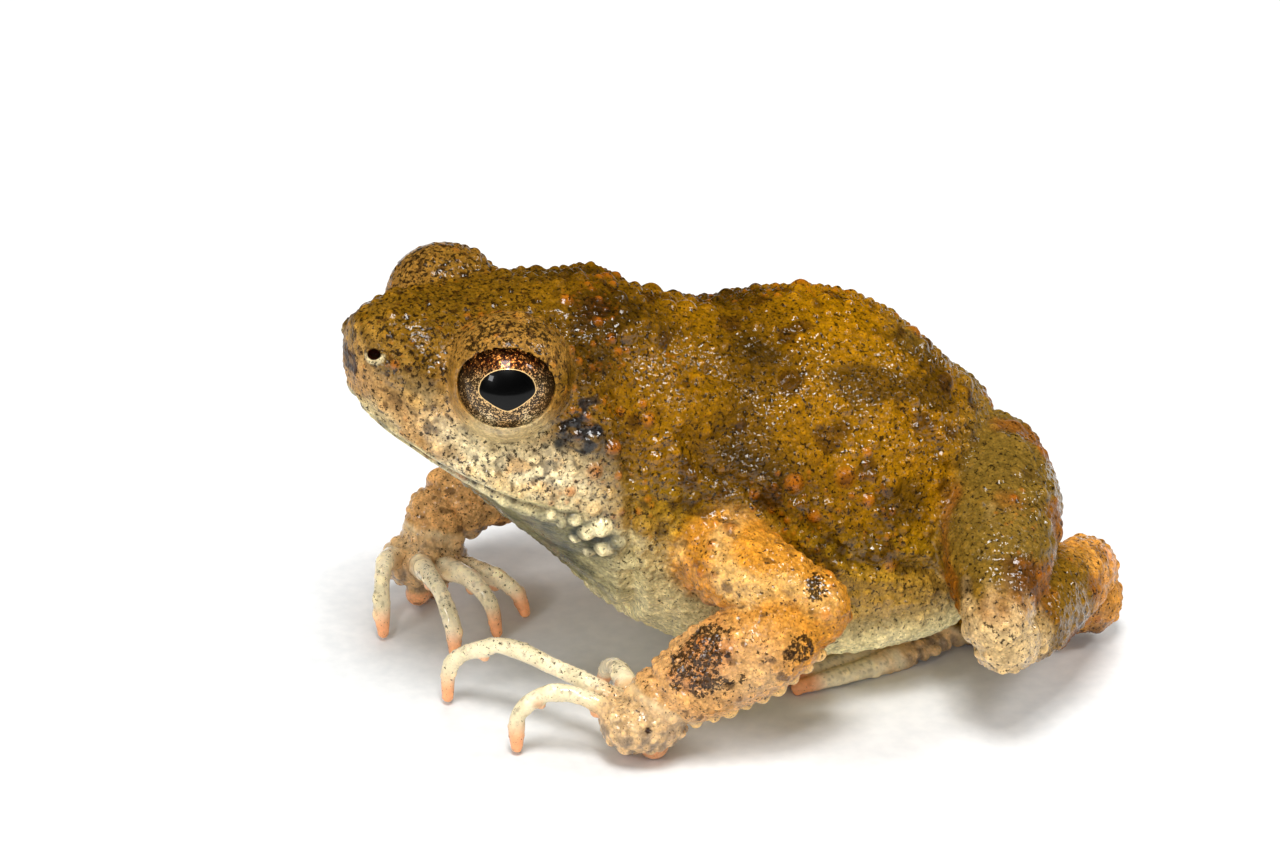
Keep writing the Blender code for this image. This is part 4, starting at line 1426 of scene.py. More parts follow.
    def _paint_back(self, coat: Paint, clouds: Clouds) -> None:
        """Olive and ochre back, golden head top, ochre flanks and dull groin.

        Args:
            coat: the colour so far, which this adds to.
            clouds: random values at every vertex.
        """
        p, c, broad, patch = self.points, Palette(), clouds.broad, clouds.patch
        coat.lay(c.back_ochre, 0.65 * smoothstep(-0.2, 0.8, broad + 0.3 * patch))
        coat.lay(c.rust, 0.50 * smoothstep(19, 25, p[:, 1]) * smoothstep(-0.4, 0.6, patch))
        coat.lay(c.back_ochre, 0.75 * smoothstep(15, 20, p[:, 1]))
        coat.lay(c.back_dark, 0.65 * smoothstep(0.25, 0.8, -patch - 0.4 * broad))
        head = smoothstep(10.2, 6.2, p[:, 1])
        coat.lay(c.head, 0.8 * head)
        coat.lay(c.head_gold, head * 0.6 * smoothstep(-0.1, 0.7, clouds.fine + 0.5 * patch)
                 * smoothstep(5.5, 2.0, self.above_side))
        flank = smoothstep(3.2, 0.6, self.above_side) * (1 - head)
        coat.lay(c.flank, 0.75 * flank)
        coat.lay(c.groin, 0.7 * smoothstep(20.5, 23.5, p[:, 1]) * smoothstep(-0.6, 0.5, broad))

    def _paint_face(self, coat: Paint, clouds: Clouds) -> None:
        """Tan snout, cream cheek with tan mottling, and pale lips.

        Args:
            coat: the colour so far, which this adds to.
            clouds: random values at every vertex.
        """
        p, c, patch = self.points, Palette(), clouds.patch
        cheek = smoothstep(3.6, 0.9, self.above_side) * smoothstep(9.6, 6.4, p[:, 1])
        cheek *= 0.15 + 0.85 * smoothstep(1.4, 4.2, p[:, 1])
        front = smoothstep(4.5, 1.5, p[:, 1]) * smoothstep(2.4, 0.8, self.above_side)
        coat.lay(c.snout, 0.75 * front)
        coat.lay(c.cheek, 0.90 * cheek * smoothstep(-3.0, -1.0, patch + 0.4 * clouds.fine))
        coat.lay(c.snout, 0.60 * cheek * smoothstep(0.0, 0.8, wave_noise(p, 0.36, 36) + 0.4 * patch))
        lip = smoothstep(1.3, 0.2, self.above_side) * smoothstep(9.0, 7.2, p[:, 1])
        coat.lay(c.lip, 0.75 * lip * smoothstep(-0.7, 0.2, patch))

    def _paint_underside(self, coat: Paint, clouds: Clouds) -> np.ndarray:
        """Cream belly and olive throat.

        Args:
            coat: the colour so far, which this adds to.
            clouds: random values at every vertex.

        Returns:
            1 on the throat, where slate mottling is laid last.
        """
        p, c = self.points, Palette()
        coat.lay(c.belly, self.under)
        throat = self.under * smoothstep(10.8, 8.2, p[:, 1]) * smoothstep(-0.1, -0.8, self.above_side)
        throat *= 1 - 0.6 * smoothstep(0.0, 0.6, clouds.patch) * smoothstep(7.0, 9.5, p[:, 1])
        coat.lay(c.throat, 0.9 * throat)
        return throat

    def _paint_forelegs(self, coat: Paint, clouds: Clouds) -> None:
        """Orange upper arm, paler forearm and the umber under its dots.

        Args:
            coat: the colour so far, which this adds to.
            clouds: random values at every vertex.
        """
        p, c, arms, umber = self.points, Palette(), self.zone_masks[Zone.ARM], self.plan.marks.umber
        coat.lay(c.arm, arms)
        coat.lay(c.arm_pale, arms * 0.6 * smoothstep(0.1, 0.8, clouds.patch))
        coat.lay(c.forearm, arms * 0.75 * smoothstep(14.8, 12.2, p[:, 1])
                 * smoothstep(6.6, 4.8, p[:, 2]))
        for side in Side:
            reach = self._share(umber, side) + 0.2 * clouds.fine
            coat.lay(c.umber, arms * umber.depth * smoothstep(1.1, 0.6, reach))

    def _paint_hind_legs(self, coat: Paint, clouds: Clouds) -> None:
        """Olive legs with rusty patches, pale knee, brown heel and orange spots.

        Args:
            coat: the colour so far, which this adds to.
            clouds: random values at every vertex.
        """
        p, c, legs, patch = self.points, Palette(), self.zone_masks[Zone.LEG], clouds.patch
        coat.lay(c.leg, 0.8 * legs)
        coat.lay(c.groin, legs * 0.6 * smoothstep(5.2, 7.4, p[:, 2]))
        coat.lay(c.rust, legs * 0.35 * smoothstep(0.0, 0.7, patch))
        ragged = 0.12 * patch + 0.12 * clouds.fine
        for side in Side:
            for spot in self.plan.marks.leg:
                gap = self._reach(side.place(spot.centre)) / spot.radius + ragged
                coat.lay(spot.colour, spot.depth * legs * smoothstep(1.15, 0.45, gap))

    def _paint_hands(self, coat: Paint, clouds: Clouds, hands: np.ndarray) -> None:
        """Cream digits, tan palms and soles netted with grey, orange tips and pads.

        Args:
            coat: the colour so far, which this adds to.
            clouds: random values at every vertex.
            hands: 1 on hands and feet.
        """
        p, c, patch, fine = self.points, Palette(), clouds.patch, clouds.fine
        coat.lay(c.hand, hands * smoothstep(0.0, 0.9, hands + 0.2 * fine))
        coat.lay(c.hand_grey, hands * 0.35 * smoothstep(0.0, 0.9, patch + 0.6 * fine))
        for centre, axes in self.plan.limbs.pads:
            reach = np.linalg.norm((p - np.array(centre)) / (np.array(axes) + 0.5), axis=1)
            coat.lay(c.palm, hands * 0.90 * smoothstep(1.35, 0.8, reach + 0.15 * fine))
        specks = smoothstep(0.45, 0.85, wave_noise(p, 0.11, 27)) * smoothstep(-0.6, 0.4, patch)
        coat.lay(c.hand_dark, hands * 0.45 * specks * smoothstep(-0.3, 0.4, self.normals[:, 2]))
        low_palm = self.palms() * smoothstep(2.5, 1.2, p[:, 2] + 0.4 * fine)
        coat.lay(c.hand_dark, 0.65 * low_palm * smoothstep(-0.3, 0.4, wave_noise(p, 0.25, 28)))
        for tip in self.plan.limbs.tips:
            coat.lay(c.tip, hands * smoothstep(1.30, 0.35, self._reach(tip)))
        for centre, size in self.plan.limbs.tubercles:
            low = smoothstep(0.55, 0.15, (p[:, 2] - centre[2]) / size)
            coat.lay(c.tip, 0.75 * low * smoothstep(size * 1.35, size * 0.95, self._reach(centre)))

    def _paint_placed_warts(self, coat: Paint) -> None:
        """Cream jaw warts in dark gaps, and the pale row along each forearm.

        Args:
            coat: the colour so far, which this adds to.
        """
        c = Palette()
        for spot, radius in self.jaw_spots():
            coat.lay(c.slate, 0.45 * smoothstep(radius * 2.0, radius * 1.3, self._reach(spot)))
        for spot, radius in self.jaw_spots():
            coat.lay(c.cream, smoothstep(radius * 1.2, radius * 0.8, self._reach(spot)))
        for spot, radius in self.forearm_spots():
            coat.lay(c.arm_pale, 0.9 * smoothstep(radius * 1.3, radius * 0.6, self._reach(spot)))

    def _paint_openings(self, coat: Paint, clouds: Clouds) -> None:
        """Cream under the nostrils, tan lids, cream lower lid and painted shade along the mouth line.

        Args:
            coat: the colour so far, which this adds to.
            clouds: random values at every vertex.
        """
        p, c, head = self.points, Palette(), self.plan.head
        for side in Side:
            hole = head.nostril_mouth(side)
            coat.lay(c.cream, 0.55 * smoothstep(0.52, 0.42, self._reach(hole))
                     * smoothstep(0.0, -0.15, p[:, 2] - hole[2]))
        lids = smoothstep(0.45, 0.20, self.eye_gap)
        brow = smoothstep(1.0, 0.5, self.eye_gap) * smoothstep(0.0, 0.5, self.normals[:, 2])
        near_rim = smoothstep(1.0, 0.3, self.eye_gap)
        coat.lay(c.lid, np.maximum(0.6 * lids, 0.70 * brow * near_rim))
        for side in Side:
            below = side.place(head.eye) + side.place(self.plan.marks.lower_lid)
            coat.lay(c.lip, 0.70 * smoothstep(0.7, 0.2, self.eye_gap)
                     * smoothstep(2.3, 1.3, self._reach(below)))
        # Painted shade: a dark slate line along the crease of the mouth.
        line = np.exp(-((self.above_side + 0.05) / 0.16) ** 2) * smoothstep(7.9, 7.2, p[:, 1])
        coat.lay(c.slate, 0.65 * line * (1 - self.limb_mask()) * smoothstep(-1.0, 0.2, clouds.fine))

    def open_skin(self) -> np.ndarray:
        """0 on the clean edges of the lids and 1 elsewhere."""
        return smoothstep(0.14, 0.34, self.eye_gap) * smoothstep(0.10, 0.28, self.rim_gap)

    def palms(self) -> np.ndarray:
        """Where the palms and soles are.

        Returns:
            1 there, where the skin is granular.
        """
        reach = np.min([np.linalg.norm((self.points - np.array(centre)) / np.array(axes), axis=1)
                        for centre, axes in self.plan.limbs.pads], axis=0)
        return smoothstep(1.35, 1.05, reach)

    def speckles(self) -> np.ndarray:
        """How strongly the finish lays its small markings at every vertex.

        Returns:
            Four columns: speckle, rust, film of water and clusters of glints.
        """
        p, zones, marks = self.points, self.zone_masks, self.plan.marks
        head = smoothstep(10.5, 6.5, p[:, 1]) * (1 - self.limb_mask()) * (1 - self.under)
        speckle = 0.45 * (1 - self.limb_mask()) * (1 - 0.6 * self.under)
        speckle = np.maximum(speckle, head * (0.38 + 0.20 * smoothstep(1.0, 3.5, self.above_side)))
        speckle = np.maximum(speckle, 0.75 * head * smoothstep(1.1, 0.5, self.eye_gap)
                             * smoothstep(0.1, 0.8, self.normals[:, 2]))
        speckle = np.maximum(speckle, 0.30 * zones[Zone.ARM] + 0.40 * zones[Zone.LEG])
        stipple = 0.10 + 0.30 * np.maximum(self.normals[:, 2], 0) * smoothstep(
            -0.3, 0.6, wave_noise(p, 0.8, 33))
        speckle = np.maximum(speckle, zones[Zone.HAND] * stipple) * self.open_skin()
        ragged = 0.25 * wave_noise(p, 0.45, 34)
        for side in Side:
            for blotch in marks.dotted:
                gap = self._share(blotch, side) + ragged
                speckle = np.maximum(speckle, zones[Zone.ARM] * smoothstep(1.1, 0.75, gap))
        behind_eye = smoothstep(3.2, 1.4, np.minimum(*[
            self._reach(side.place(marks.behind_eye)) for side in Side]))
        rust = 0.25 + 0.75 * np.maximum(behind_eye, smoothstep(0.1, 0.7, wave_noise(p, 2.2, 31)))
        wet = smoothstep(-0.4, 0.6, wave_noise(p, 1.1, 32)) * smoothstep(1.0, 2.4, p[:, 1])
        shoulder = np.minimum(*[self._reach(side.place(marks.shoulder)) for side in Side])
        wet = np.maximum.reduce([wet, smoothstep(2.2, 1.0, shoulder), zones[Zone.HAND]])
        rust = np.maximum(rust, 0.6 * head) * (1 - 0.9 * self.palms())
        glints = smoothstep(0.15, 0.75, wave_noise(p, 0.75, 35)) * (0.35 + 0.65 * head)
        glints *= 1 - np.clip(zones[Zone.HAND] + zones[Zone.FOOT] + self.under, 0, 1)
        forearm = np.minimum(*[self._reach(side.place(marks.forearm)) for side in Side])
        side_of_head = head * smoothstep(3.4, 1.8, self.above_side)
        glints *= 1 + 3.0 * side_of_head
        glints = np.maximum.reduce([glints, 2.2 * smoothstep(1.8, 1.0, forearm),
                                    1.5 * smoothstep(2.2, 1.0, shoulder)])
        glints *= smoothstep(0.3, 0.7, self.eye_gap) * smoothstep(0.8, 1.4, p[:, 1])
        return np.stack([speckle, rust, np.clip(np.maximum(wet, glints), 0, 1), glints], axis=1)

    def _reach(self, spot: Sequence[float]) -> np.ndarray:
        """Distance of every vertex from a place."""
        return np.linalg.norm(self.points - np.asarray(spot), axis=1)

    def _share(self, blotch: Blotch, side: Side) -> np.ndarray:
        """Distance of every vertex from a blotch's middle, 1 at its edge."""
        return np.linalg.norm((self.points - side.place(blotch.centre)) / np.array(blotch.axes), axis=1)

    def _dark_marks(self, clouds: Clouds) -> np.ndarray:
        """Strength of the dark blotches, flecks and bars, and of the painted shade inside the nostrils.

        Args:
            clouds: random values at every vertex.

        Returns:
            0 to 1 for each vertex.
        """
        p, zones, patch, fine = self.points, self.zone_masks, clouds.patch, clouds.fine
        made = np.zeros(len(p))
        speckle = wave_noise(p, 0.24, 25)
        for blotch in self.plan.marks.dark:
            for side in Side:
                gap = self._share(blotch, side) + blotch.ragged * (0.30 * fine + 0.15 * patch)
                holes = 1 - blotch.ragged * 0.75 * smoothstep(0.0, -0.5, speckle)
                edge = smoothstep(1.05, 0.90, gap)
                made = np.maximum(made, blotch.depth * edge * np.clip(holes, 0, 1))
        # Painted shade: the inside of each nostril is darkened.
        for side in Side:
            gap = self._reach(self.plan.head.nostril_mouth(side, -0.5))
            made = np.maximum(made, smoothstep(0.40, 0.33, gap))
        head = smoothstep(10.0, 6.5, p[:, 1]) * (1 - self.under) * (1 - self.limb_mask())
        flecks = head * 0.65 * smoothstep(0.85, 0.98, wave_noise(p, 0.20, 21) + 0.45 * fine)
        back = (1 - head) * (1 - self.limb_mask()) * (1 - self.under)
        flecks = np.maximum(flecks, back * 0.6 * smoothstep(0.6, 1.0, wave_noise(p, 0.7, 22)))
        arms = zones[Zone.ARM] * 0.65 * smoothstep(0.85, 1.15, wave_noise(p, 0.30, 23))
        bars = zones[Zone.LEG] * 0.5 * smoothstep(0.4, 0.9, wave_noise(p, 1.3, 24))
        made = np.maximum.reduce([made, flecks, arms, bars]) * self.open_skin()
        return np.clip(made, 0, 1)

    def to_object(self, shift: Vector, name: str) -> bpy.types.Object:
        """The finished skin object, in metres.

        Args:
            shift: where the design origin lies in the scene.
            name: the object's name.

        Returns:
            The object, smooth shaded, with its colour and mask attributes.
        """
        data = bpy.data.meshes.new(name)
        count = len(self.points)
        data.vertices.add(count)
        data.vertices.foreach_set("co", (self.points * MM + np.array(shift)).ravel())
        data.loops.add(len(self.quads) * 4)
        data.loops.foreach_set("vertex_index", self.quads.ravel().astype(np.int32))
        data.polygons.add(len(self.quads))
        data.polygons.foreach_set("loop_start", np.arange(len(self.quads), dtype=np.int32) * 4)
        data.update(calc_edges=True)
        data.shade_smooth()
        colour, masks = self.colours()
        for label, values in (("skin_colour", colour), ("skin_masks", masks),
                              ("skin_speckles", self.speckles())):
            layer = data.attributes.new(label, "FLOAT_COLOR", "POINT")
            layer.data.foreach_set("color", values.astype(np.float32).ravel())
        made = bpy.data.objects.new(name, data)
        bpy.context.scene.collection.objects.link(made)
        return made


def add_node(tree: bpy.types.NodeTree, kind: str, settings: Optional[Dict[str, object]] = None,
             inputs: Optional[Dict[object, object]] = None) -> bpy.types.Node:
    """Add a node with its settings, and link or set its inputs.

    Args:
        tree: the material's node tree.
        kind: the node's type name, without the words Shader Node.
        settings: attributes to set on the node.
        inputs: values, output sockets, or nodes whose first output is meant, by name or number.

    Returns:
        The node.
    """
    node = tree.nodes.new("ShaderNode" + kind)
    for name, value in (settings or {}).items():
        setattr(node, name, value)
    for key, value in (inputs or {}).items():
        if isinstance(value, bpy.types.Node):
            tree.links.new(value.outputs[0], node.inputs[key])
        elif isinstance(value, bpy.types.NodeSocket):
            tree.links.new(value, node.inputs[key])
        else:
            node.inputs[key].default_value = value
    return node


@dataclass(frozen=True)
class MoistFrogSkin:
    """Living frog skin under a film of water: mottled, granular, with sharp small highlights."""

    granule: float = 0.12
    mottle: float = 0.35
    grain: float = 0.05
    # Size of each kind of fleck, how far the speckle mark crowds it, and how dark it is.
    flecks: Tuple[Tuple[float, float, float], ...] = ((0.17, 0.22, 0.88), (0.08, 0.13, 0.80))
    wart_top: float = 0.55
    wart_pale: Tuple[float, float, float, float] = (1.5, 1.42, 1.25, 1.0)
    roughness: float = 0.38
    relief: float = 0.035
    film_roughness: float = 0.06
    film_weight: float = 0.9
    film_dry: float = 0.08
    film_bump: float = 0.22
    film_ior: float = 1.45
    glint_bump: float = 0.22
    specular_level: float = 0.05
    glow_share: float = 0.08
    glow_radius: Tuple[float, float, float] = (1.0, 0.45, 0.2)
    glow_depth: float = 0.35

    def build(self) -> bpy.types.Material:
        """The material: vertex markings broken up by mottling, granules in bump, a wet coat.

        Returns:
            The material, for a mesh with the skin's three attributes.
        """
        c = Palette()
        material = bpy.data.materials.new("moist_frog_skin")
        material.use_nodes = True
        tree = material.node_tree
        shader = tree.nodes["Principled BSDF"]
        place = add_node(tree, "TexCoord").outputs["Object"]
        colour = add_node(tree, "Attribute", {"attribute_name": "skin_colour"})
        masks = add_node(tree, "Attribute", {"attribute_name": "skin_masks"})
        split = add_node(tree, "SeparateColor", {}, {0: masks.outputs["Color"]})
        tint, wart, hands = split.outputs[0], split.outputs[1], split.outputs[2]
        amounts = add_node(tree, "Attribute", {"attribute_name": "skin_speckles"})
        parts = add_node(tree, "SeparateColor", {}, {0: amounts.outputs["Color"]})
        speckle, rust, wet = parts.outputs[0], parts.outputs[1], parts.outputs[2]
        mottle = add_node(tree, "TexNoise", {}, {
            "Vector": place, "Scale": 1 / (self.mottle * MM), "Detail": 5.0, "Roughness": 0.6})
        cells = add_node(tree, "TexVoronoi", {"feature": "F1"}, {
            "Vector": place, "Scale": 1 / (self.granule * MM)})
        grain = add_node(tree, "TexNoise", {}, {
            "Vector": place, "Scale": 1 / (self.grain * MM), "Detail": 2.0})
        # Darker gaps between granules, painted shade in the hollows that the granule bump leaves, and
        # cloudy mottling, both fainter on the smooth hands.
        gap = add_node(tree, "MapRange", {}, {
            "Value": cells.outputs["Distance"], "From Min": 0.2, "From Max": 0.8,
            "To Min": 1.12, "To Max": 0.74})
        shade = add_node(tree, "MapRange", {}, {
            "Value": mottle.outputs["Fac"], "From Min": 0.3, "From Max": 0.7,
            "To Min": 0.58, "To Max": 1.32})
        granule_shade_and_mottle = add_node(tree, "Math", {"operation": "MULTIPLY"}, {0: gap, 1: shade})
        calm = add_node(tree, "MapRange", {}, {"Value": hands, "To Min": 0.0, "To Max": 0.75})
        evened = add_node(tree, "Mix", {"data_type": "FLOAT"}, {0: calm, 2: granule_shade_and_mottle, 3: 1.0})
        toned = add_node(tree, "VectorMath", {"operation": "SCALE"}, {
            0: colour.outputs["Color"], "Scale": evened})
        # Wart tops: those with a high tint glow rust orange, the others are a paler skin.
        rust_tint = add_node(tree, "Math", {"operation": "MULTIPLY"}, {0: tint, 1: rust})
        rusty = add_node(tree, "MapRange", {}, {"Value": rust_tint, "From Min": 0.50, "From Max": 0.62})
        pale = add_node(tree, "Mix", {"data_type": "RGBA", "blend_type": "MULTIPLY"}, {
            0: 1.0, 6: toned, 7: self.wart_pale})
        top_colour = add_node(tree, "Mix", {"data_type": "RGBA"}, {
            0: rusty, 6: pale.outputs[2], 7: linear(c.wart_rust)})
        bare = add_node(tree, "Math", {"operation": "SUBTRACT"}, {0: 1.0, 1: masks.outputs["Alpha"]})
        top = add_node(tree, "Math", {"operation": "MULTIPLY"}, {0: wart, 1: bare})
        top_share = add_node(tree, "Math", {"operation": "MULTIPLY"}, {0: top, 1: self.wart_top})
        warm = add_node(tree, "Mix", {"data_type": "RGBA"}, {
            0: top_share, 6: toned, 7: top_colour.outputs[2]})
        # Black flecks of two sizes that crowd where the skin is marked as speckled.
        specked = warm.outputs[2]
        for size, crowding, share in self.flecks:
            flecks = add_node(tree, "TexNoise", {}, {
                "Vector": place, "Scale": 1 / (size * MM), "Detail": 3.0, "Roughness": 0.65})
            crowd = add_node(tree, "Math", {"operation": "MULTIPLY_ADD"}, {
                0: speckle, 1: crowding, 2: flecks.outputs["Fac"]})
            mask = add_node(tree, "MapRange", {}, {
                "Value": crowd, "From Min": 0.66, "From Max": 0.71, "To Max": share})
            specked = add_node(tree, "Mix", {"data_type": "RGBA"}, {
                0: mask, 6: specked, 7: linear(c.fleck)}).outputs[2]
        tree.links.new(specked, shader.inputs["Base Color"])
        rough = add_node(tree, "MapRange", {}, {
            "Value": mottle.outputs["Fac"], "From Min": 0.3, "From Max": 0.7,
            "To Min": self.roughness - 0.1, "To Max": self.roughness + 0.12})
        tree.links.new(rough.outputs[0], shader.inputs["Roughness"])
        granules = add_node(tree, "MapRange", {}, {
            "Value": cells.outputs["Distance"], "From Min": 0.0, "From Max": 0.8,
            "To Min": 1.0, "To Max": 0.0})
        bumpy = add_node(tree, "Math", {"operation": "MULTIPLY_ADD"}, {
            0: grain.outputs["Fac"], 1: 0.35, 2: granules})
        strength = add_node(tree, "MapRange", {}, {"Value": hands, "To Min": 0.75, "To Max": 0.28})
        bump = add_node(tree, "Bump", {}, {
            "Height": bumpy, "Distance": self.relief * MM, "Strength": strength})
        tree.links.new(bump.outputs[0], shader.inputs["Normal"])
        # A smooth film of water over it, bumpier where the glints cluster and thin where dry.
        film_strength = add_node(tree, "MapRange", {}, {
            "Value": hands, "To Min": self.film_bump, "To Max": self.film_bump * 0.4})
        rippled = add_node(tree, "Math", {"operation": "MULTIPLY_ADD"}, {
            0: amounts.outputs["Alpha"], 1: self.glint_bump, 2: film_strength})
        film = add_node(tree, "Bump", {}, {
            "Height": bumpy, "Distance": self.relief * MM, "Strength": rippled})
        tree.links.new(film.outputs[0], shader.inputs["Coat Normal"])
        shader.inputs["Specular IOR Level"].default_value = self.specular_level
        film_share = add_node(tree, "MapRange", {}, {
            "Value": wet, "To Min": self.film_dry * self.film_weight, "To Max": self.film_weight})
        tree.links.new(film_share.outputs[0], shader.inputs["Coat Weight"])
        shader.inputs["Coat Roughness"].default_value = self.film_roughness
        shader.inputs["Coat IOR"].default_value = self.film_ior
        shader.inputs["Subsurface Weight"].default_value = self.glow_share
        shader.inputs["Subsurface Radius"].default_value = self.glow_radius
        shader.inputs["Subsurface Scale"].default_value = self.glow_depth * MM
        return material


@dataclass(frozen=True)
class FrogIris:
    """A frog's eye: gold iris netted with black, coppery above, behind a wet clear cornea."""

    pupil_half: Tuple[float, float] = (1.01, 0.75)
    pupil_drop: float = 0.16
    iris_half: float = 1.80
    cloud: float = 0.30
    speck: float = 0.075
    flake: float = 0.16
    metallic: float = 0.45
    roughness: float = 0.35
    specular_level: float = 0.08
    cornea_roughness: float = 0.02
    cornea_ior: float = 1.25
    # Strength of the painted glow, the light that the iris gives out itself.
    glow: float = 0.55

    def build(self) -> bpy.types.Material:
        """The material, drawn from each vertex's place across and up the eye, in millimetres.

        Returns:
            The material, for a mesh with the attribute eye_place.
        """
        c = EyePalette()
        material = bpy.data.materials.new("frog_iris")
        material.use_nodes = True
        tree = material.node_tree
        shader = tree.nodes["Principled BSDF"]
        eye = add_node(tree, "Attribute", {"attribute_name": "eye_place"})
        reach, radius, across, up = self._distances(tree, eye)
        cloud = add_node(tree, "TexNoise", {}, {
            "Vector": eye.outputs["Vector"], "Scale": 1 / self.cloud, "Detail": 6.0, "Roughness": 0.7})
        speck = add_node(tree, "TexNoise", {}, {
            "Vector": eye.outputs["Vector"], "Scale": 1 / self.speck, "Detail": 4.0, "Roughness": 0.7})
        flake = add_node(tree, "TexNoise", {}, {
            "Vector": eye.outputs["Vector"], "Scale": 1 / self.flake, "Detail": 3.0, "Roughness": 0.6})
        # Copper with flecks above, which also carry the painted glow, dull gold at the sides, cream patches
        # below.
        height = add_node(tree, "Math", {"operation": "MULTIPLY_ADD"}, {
            0: cloud.outputs["Fac"], 1: 0.8, 2: up})
        copper = add_node(tree, "MapRange", {}, {"Value": height, "From Min": 0.75, "From Max": 1.25})
        gold = add_node(tree, "MapRange", {}, {"Value": height, "From Min": -0.95, "From Max": -0.25})
        aside = add_node(tree, "MapRange", {}, {"Value": across, "From Min": 0.15, "From Max": 0.60})
        cream = add_node(tree, "Math", {"operation": "MULTIPLY_ADD"}, {0: gold, 1: -1.0, 2: aside})
        low = add_node(tree, "Mix", {"data_type": "RGBA"}, {
            0: cream, 6: linear(c.gold), 7: linear(c.pale_gold)})
        glow = add_node(tree, "MapRange", {}, {
            "Value": flake.outputs["Fac"], "From Min": 0.49, "From Max": 0.56})
        high = add_node(tree, "Mix", {"data_type": "RGBA"}, {
            0: glow, 6: linear(c.ember), 7: linear(c.copper)})
        metal = add_node(tree, "Mix", {"data_type": "RGBA"}, {
            0: copper, 6: low.outputs[2], 7: high.outputs[2]})
        # Fine black specks, denser towards the eye's edge and sparser on the cream.
        density = add_node(tree, "Math", {"operation": "MULTIPLY_ADD"}, {0: radius, 1: -0.10, 2: 0.62})
        drift = add_node(tree, "Math", {"operation": "MULTIPLY_ADD"}, {
            0: cloud.outputs["Fac"], 1: -0.30, 2: density})
        over = add_node(tree, "Math", {"operation": "SUBTRACT"}, {0: speck.outputs["Fac"], 1: drift})
        clear = add_node(tree, "Math", {"operation": "MULTIPLY", "use_clamp": True}, {0: cream, 1: 0.9})
        bare = add_node(tree, "Math", {"operation": "MULTIPLY_ADD"}, {0: clear, 1: -0.10, 2: over})
        specks = add_node(tree, "MapRange", {}, {
            "Value": bare, "From Min": 0.07, "From Max": 0.10, "To Max": 0.95})
        # A thin bright ring just outside the pupil, the dark rim of the iris, and the pupil.
        rise = add_node(tree, "MapRange", {}, {"Value": reach, "From Min": 0.99, "From Max": 1.00})
        fall = add_node(tree, "MapRange", {}, {
            "Value": reach, "From Min": 1.02, "From Max": 1.04, "To Min": 1.0, "To Max": 0.0})
        ring = add_node(tree, "Math", {"operation": "MULTIPLY"}, {0: rise, 1: fall})
        rim = add_node(tree, "MapRange", {}, {
            "Value": radius, "From Min": self.iris_half - 0.12, "From Max": self.iris_half - 0.02})
        pupil = add_node(tree, "MapRange", {}, {
            "Value": reach, "From Min": 0.98, "From Max": 1.01, "To Min": 1.0, "To Max": 0.0})
        eyed = metal.outputs[2]
        for share, colour in ((specks, c.vein), (ring, c.ring), (rim, c.rim), (pupil, c.pupil)):
            eyed = add_node(tree, "Mix", {"data_type": "RGBA"}, {
                0: share, 6: eyed, 7: linear(colour)}).outputs[2]
        tree.links.new(eyed, shader.inputs["Base Color"])
        metallic = add_node(tree, "MapRange", {}, {
            "Value": reach, "From Min": 0.98, "From Max": 1.01, "To Max": self.metallic})
        tree.links.new(metallic.outputs[0], shader.inputs["Metallic"])
        # Painted light: the iris gives out its own colour, faintly all over and most in the copper flecks
        # above the pupil, so it stays bright in the lid's shadow.
        tree.links.new(eyed, shader.inputs["Emission Color"])
        painted_glow = add_node(tree, "Math", {"operation": "MULTIPLY"}, {0: copper, 1: glow})
        painted_glow_strength = add_node(tree, "MapRange", {}, {
            "Value": painted_glow, "To Min": self.glow * 0.16, "To Max": self.glow})
        tree.links.new(painted_glow_strength.outputs[0], shader.inputs["Emission Strength"])
        shader.inputs["Roughness"].default_value = self.roughness
        shader.inputs["Coat Weight"].default_value = 1.0
        shader.inputs["Coat Roughness"].default_value = self.cornea_roughness
        shader.inputs["Coat IOR"].default_value = self.cornea_ior
        shader.inputs["Specular IOR Level"].default_value = self.specular_level
        return material

    def _distances(self, tree: bpy.types.NodeTree,
                   eye: bpy.types.Node) -> Tuple[bpy.types.NodeSocket, ...]:
        """How far each place lies from the pupil's middle.

        Args:
            tree: the material's nodes.
            eye: the node with the place across and up the eye.

        Returns:
            Distance in pupil sizes (1 on its edge), then distance, distance to the side and
            height in millimetres.
        """
        lowered = add_node(tree, "VectorMath", {"operation": "ADD"}, {
            0: eye.outputs["Vector"], 1: (0.0, self.pupil_drop, 0.0)})
        axes = add_node(tree, "SeparateXYZ", {}, {0: lowered})
        powers = []
        for number, half in enumerate(self.pupil_half):
            size = add_node(tree, "Math", {"operation": "DIVIDE"}, {0: axes.outputs[number], 1: half})
            plain = add_node(tree, "Math", {"operation": "ABSOLUTE"}, {0: size})
            powers.append(plain.outputs[0])
        # An oval above and a blunt kite below: the power falls from 2.1 to 1.4.
        power = add_node(tree, "MapRange", {}, {
            "Value": axes.outputs[1], "From Min": -0.4, "From Max": 0.3, "To Min": 1.4, "To Max": 2.1})
        raised = [add_node(tree, "Math", {"operation": "POWER"}, {0: item, 1: power})
                  for item in powers]
        total = add_node(tree, "Math", {"operation": "ADD"}, {0: raised[0], 1: raised[1]})
        inverse = add_node(tree, "Math", {"operation": "DIVIDE"}, {0: 1.0, 1: power})
        reach = add_node(tree, "Math", {"operation": "POWER"}, {0: total, 1: inverse})
        flat = add_node(tree, "CombineXYZ", {}, {0: axes.outputs[0], 1: axes.outputs[1]})
        radius = add_node(tree, "VectorMath", {"operation": "LENGTH"}, {0: flat})
        aside = add_node(tree, "Math", {"operation": "ABSOLUTE"}, {0: axes.outputs[0]})
        return reach.outputs[0], radius.outputs["Value"], aside.outputs[0], axes.outputs[1]


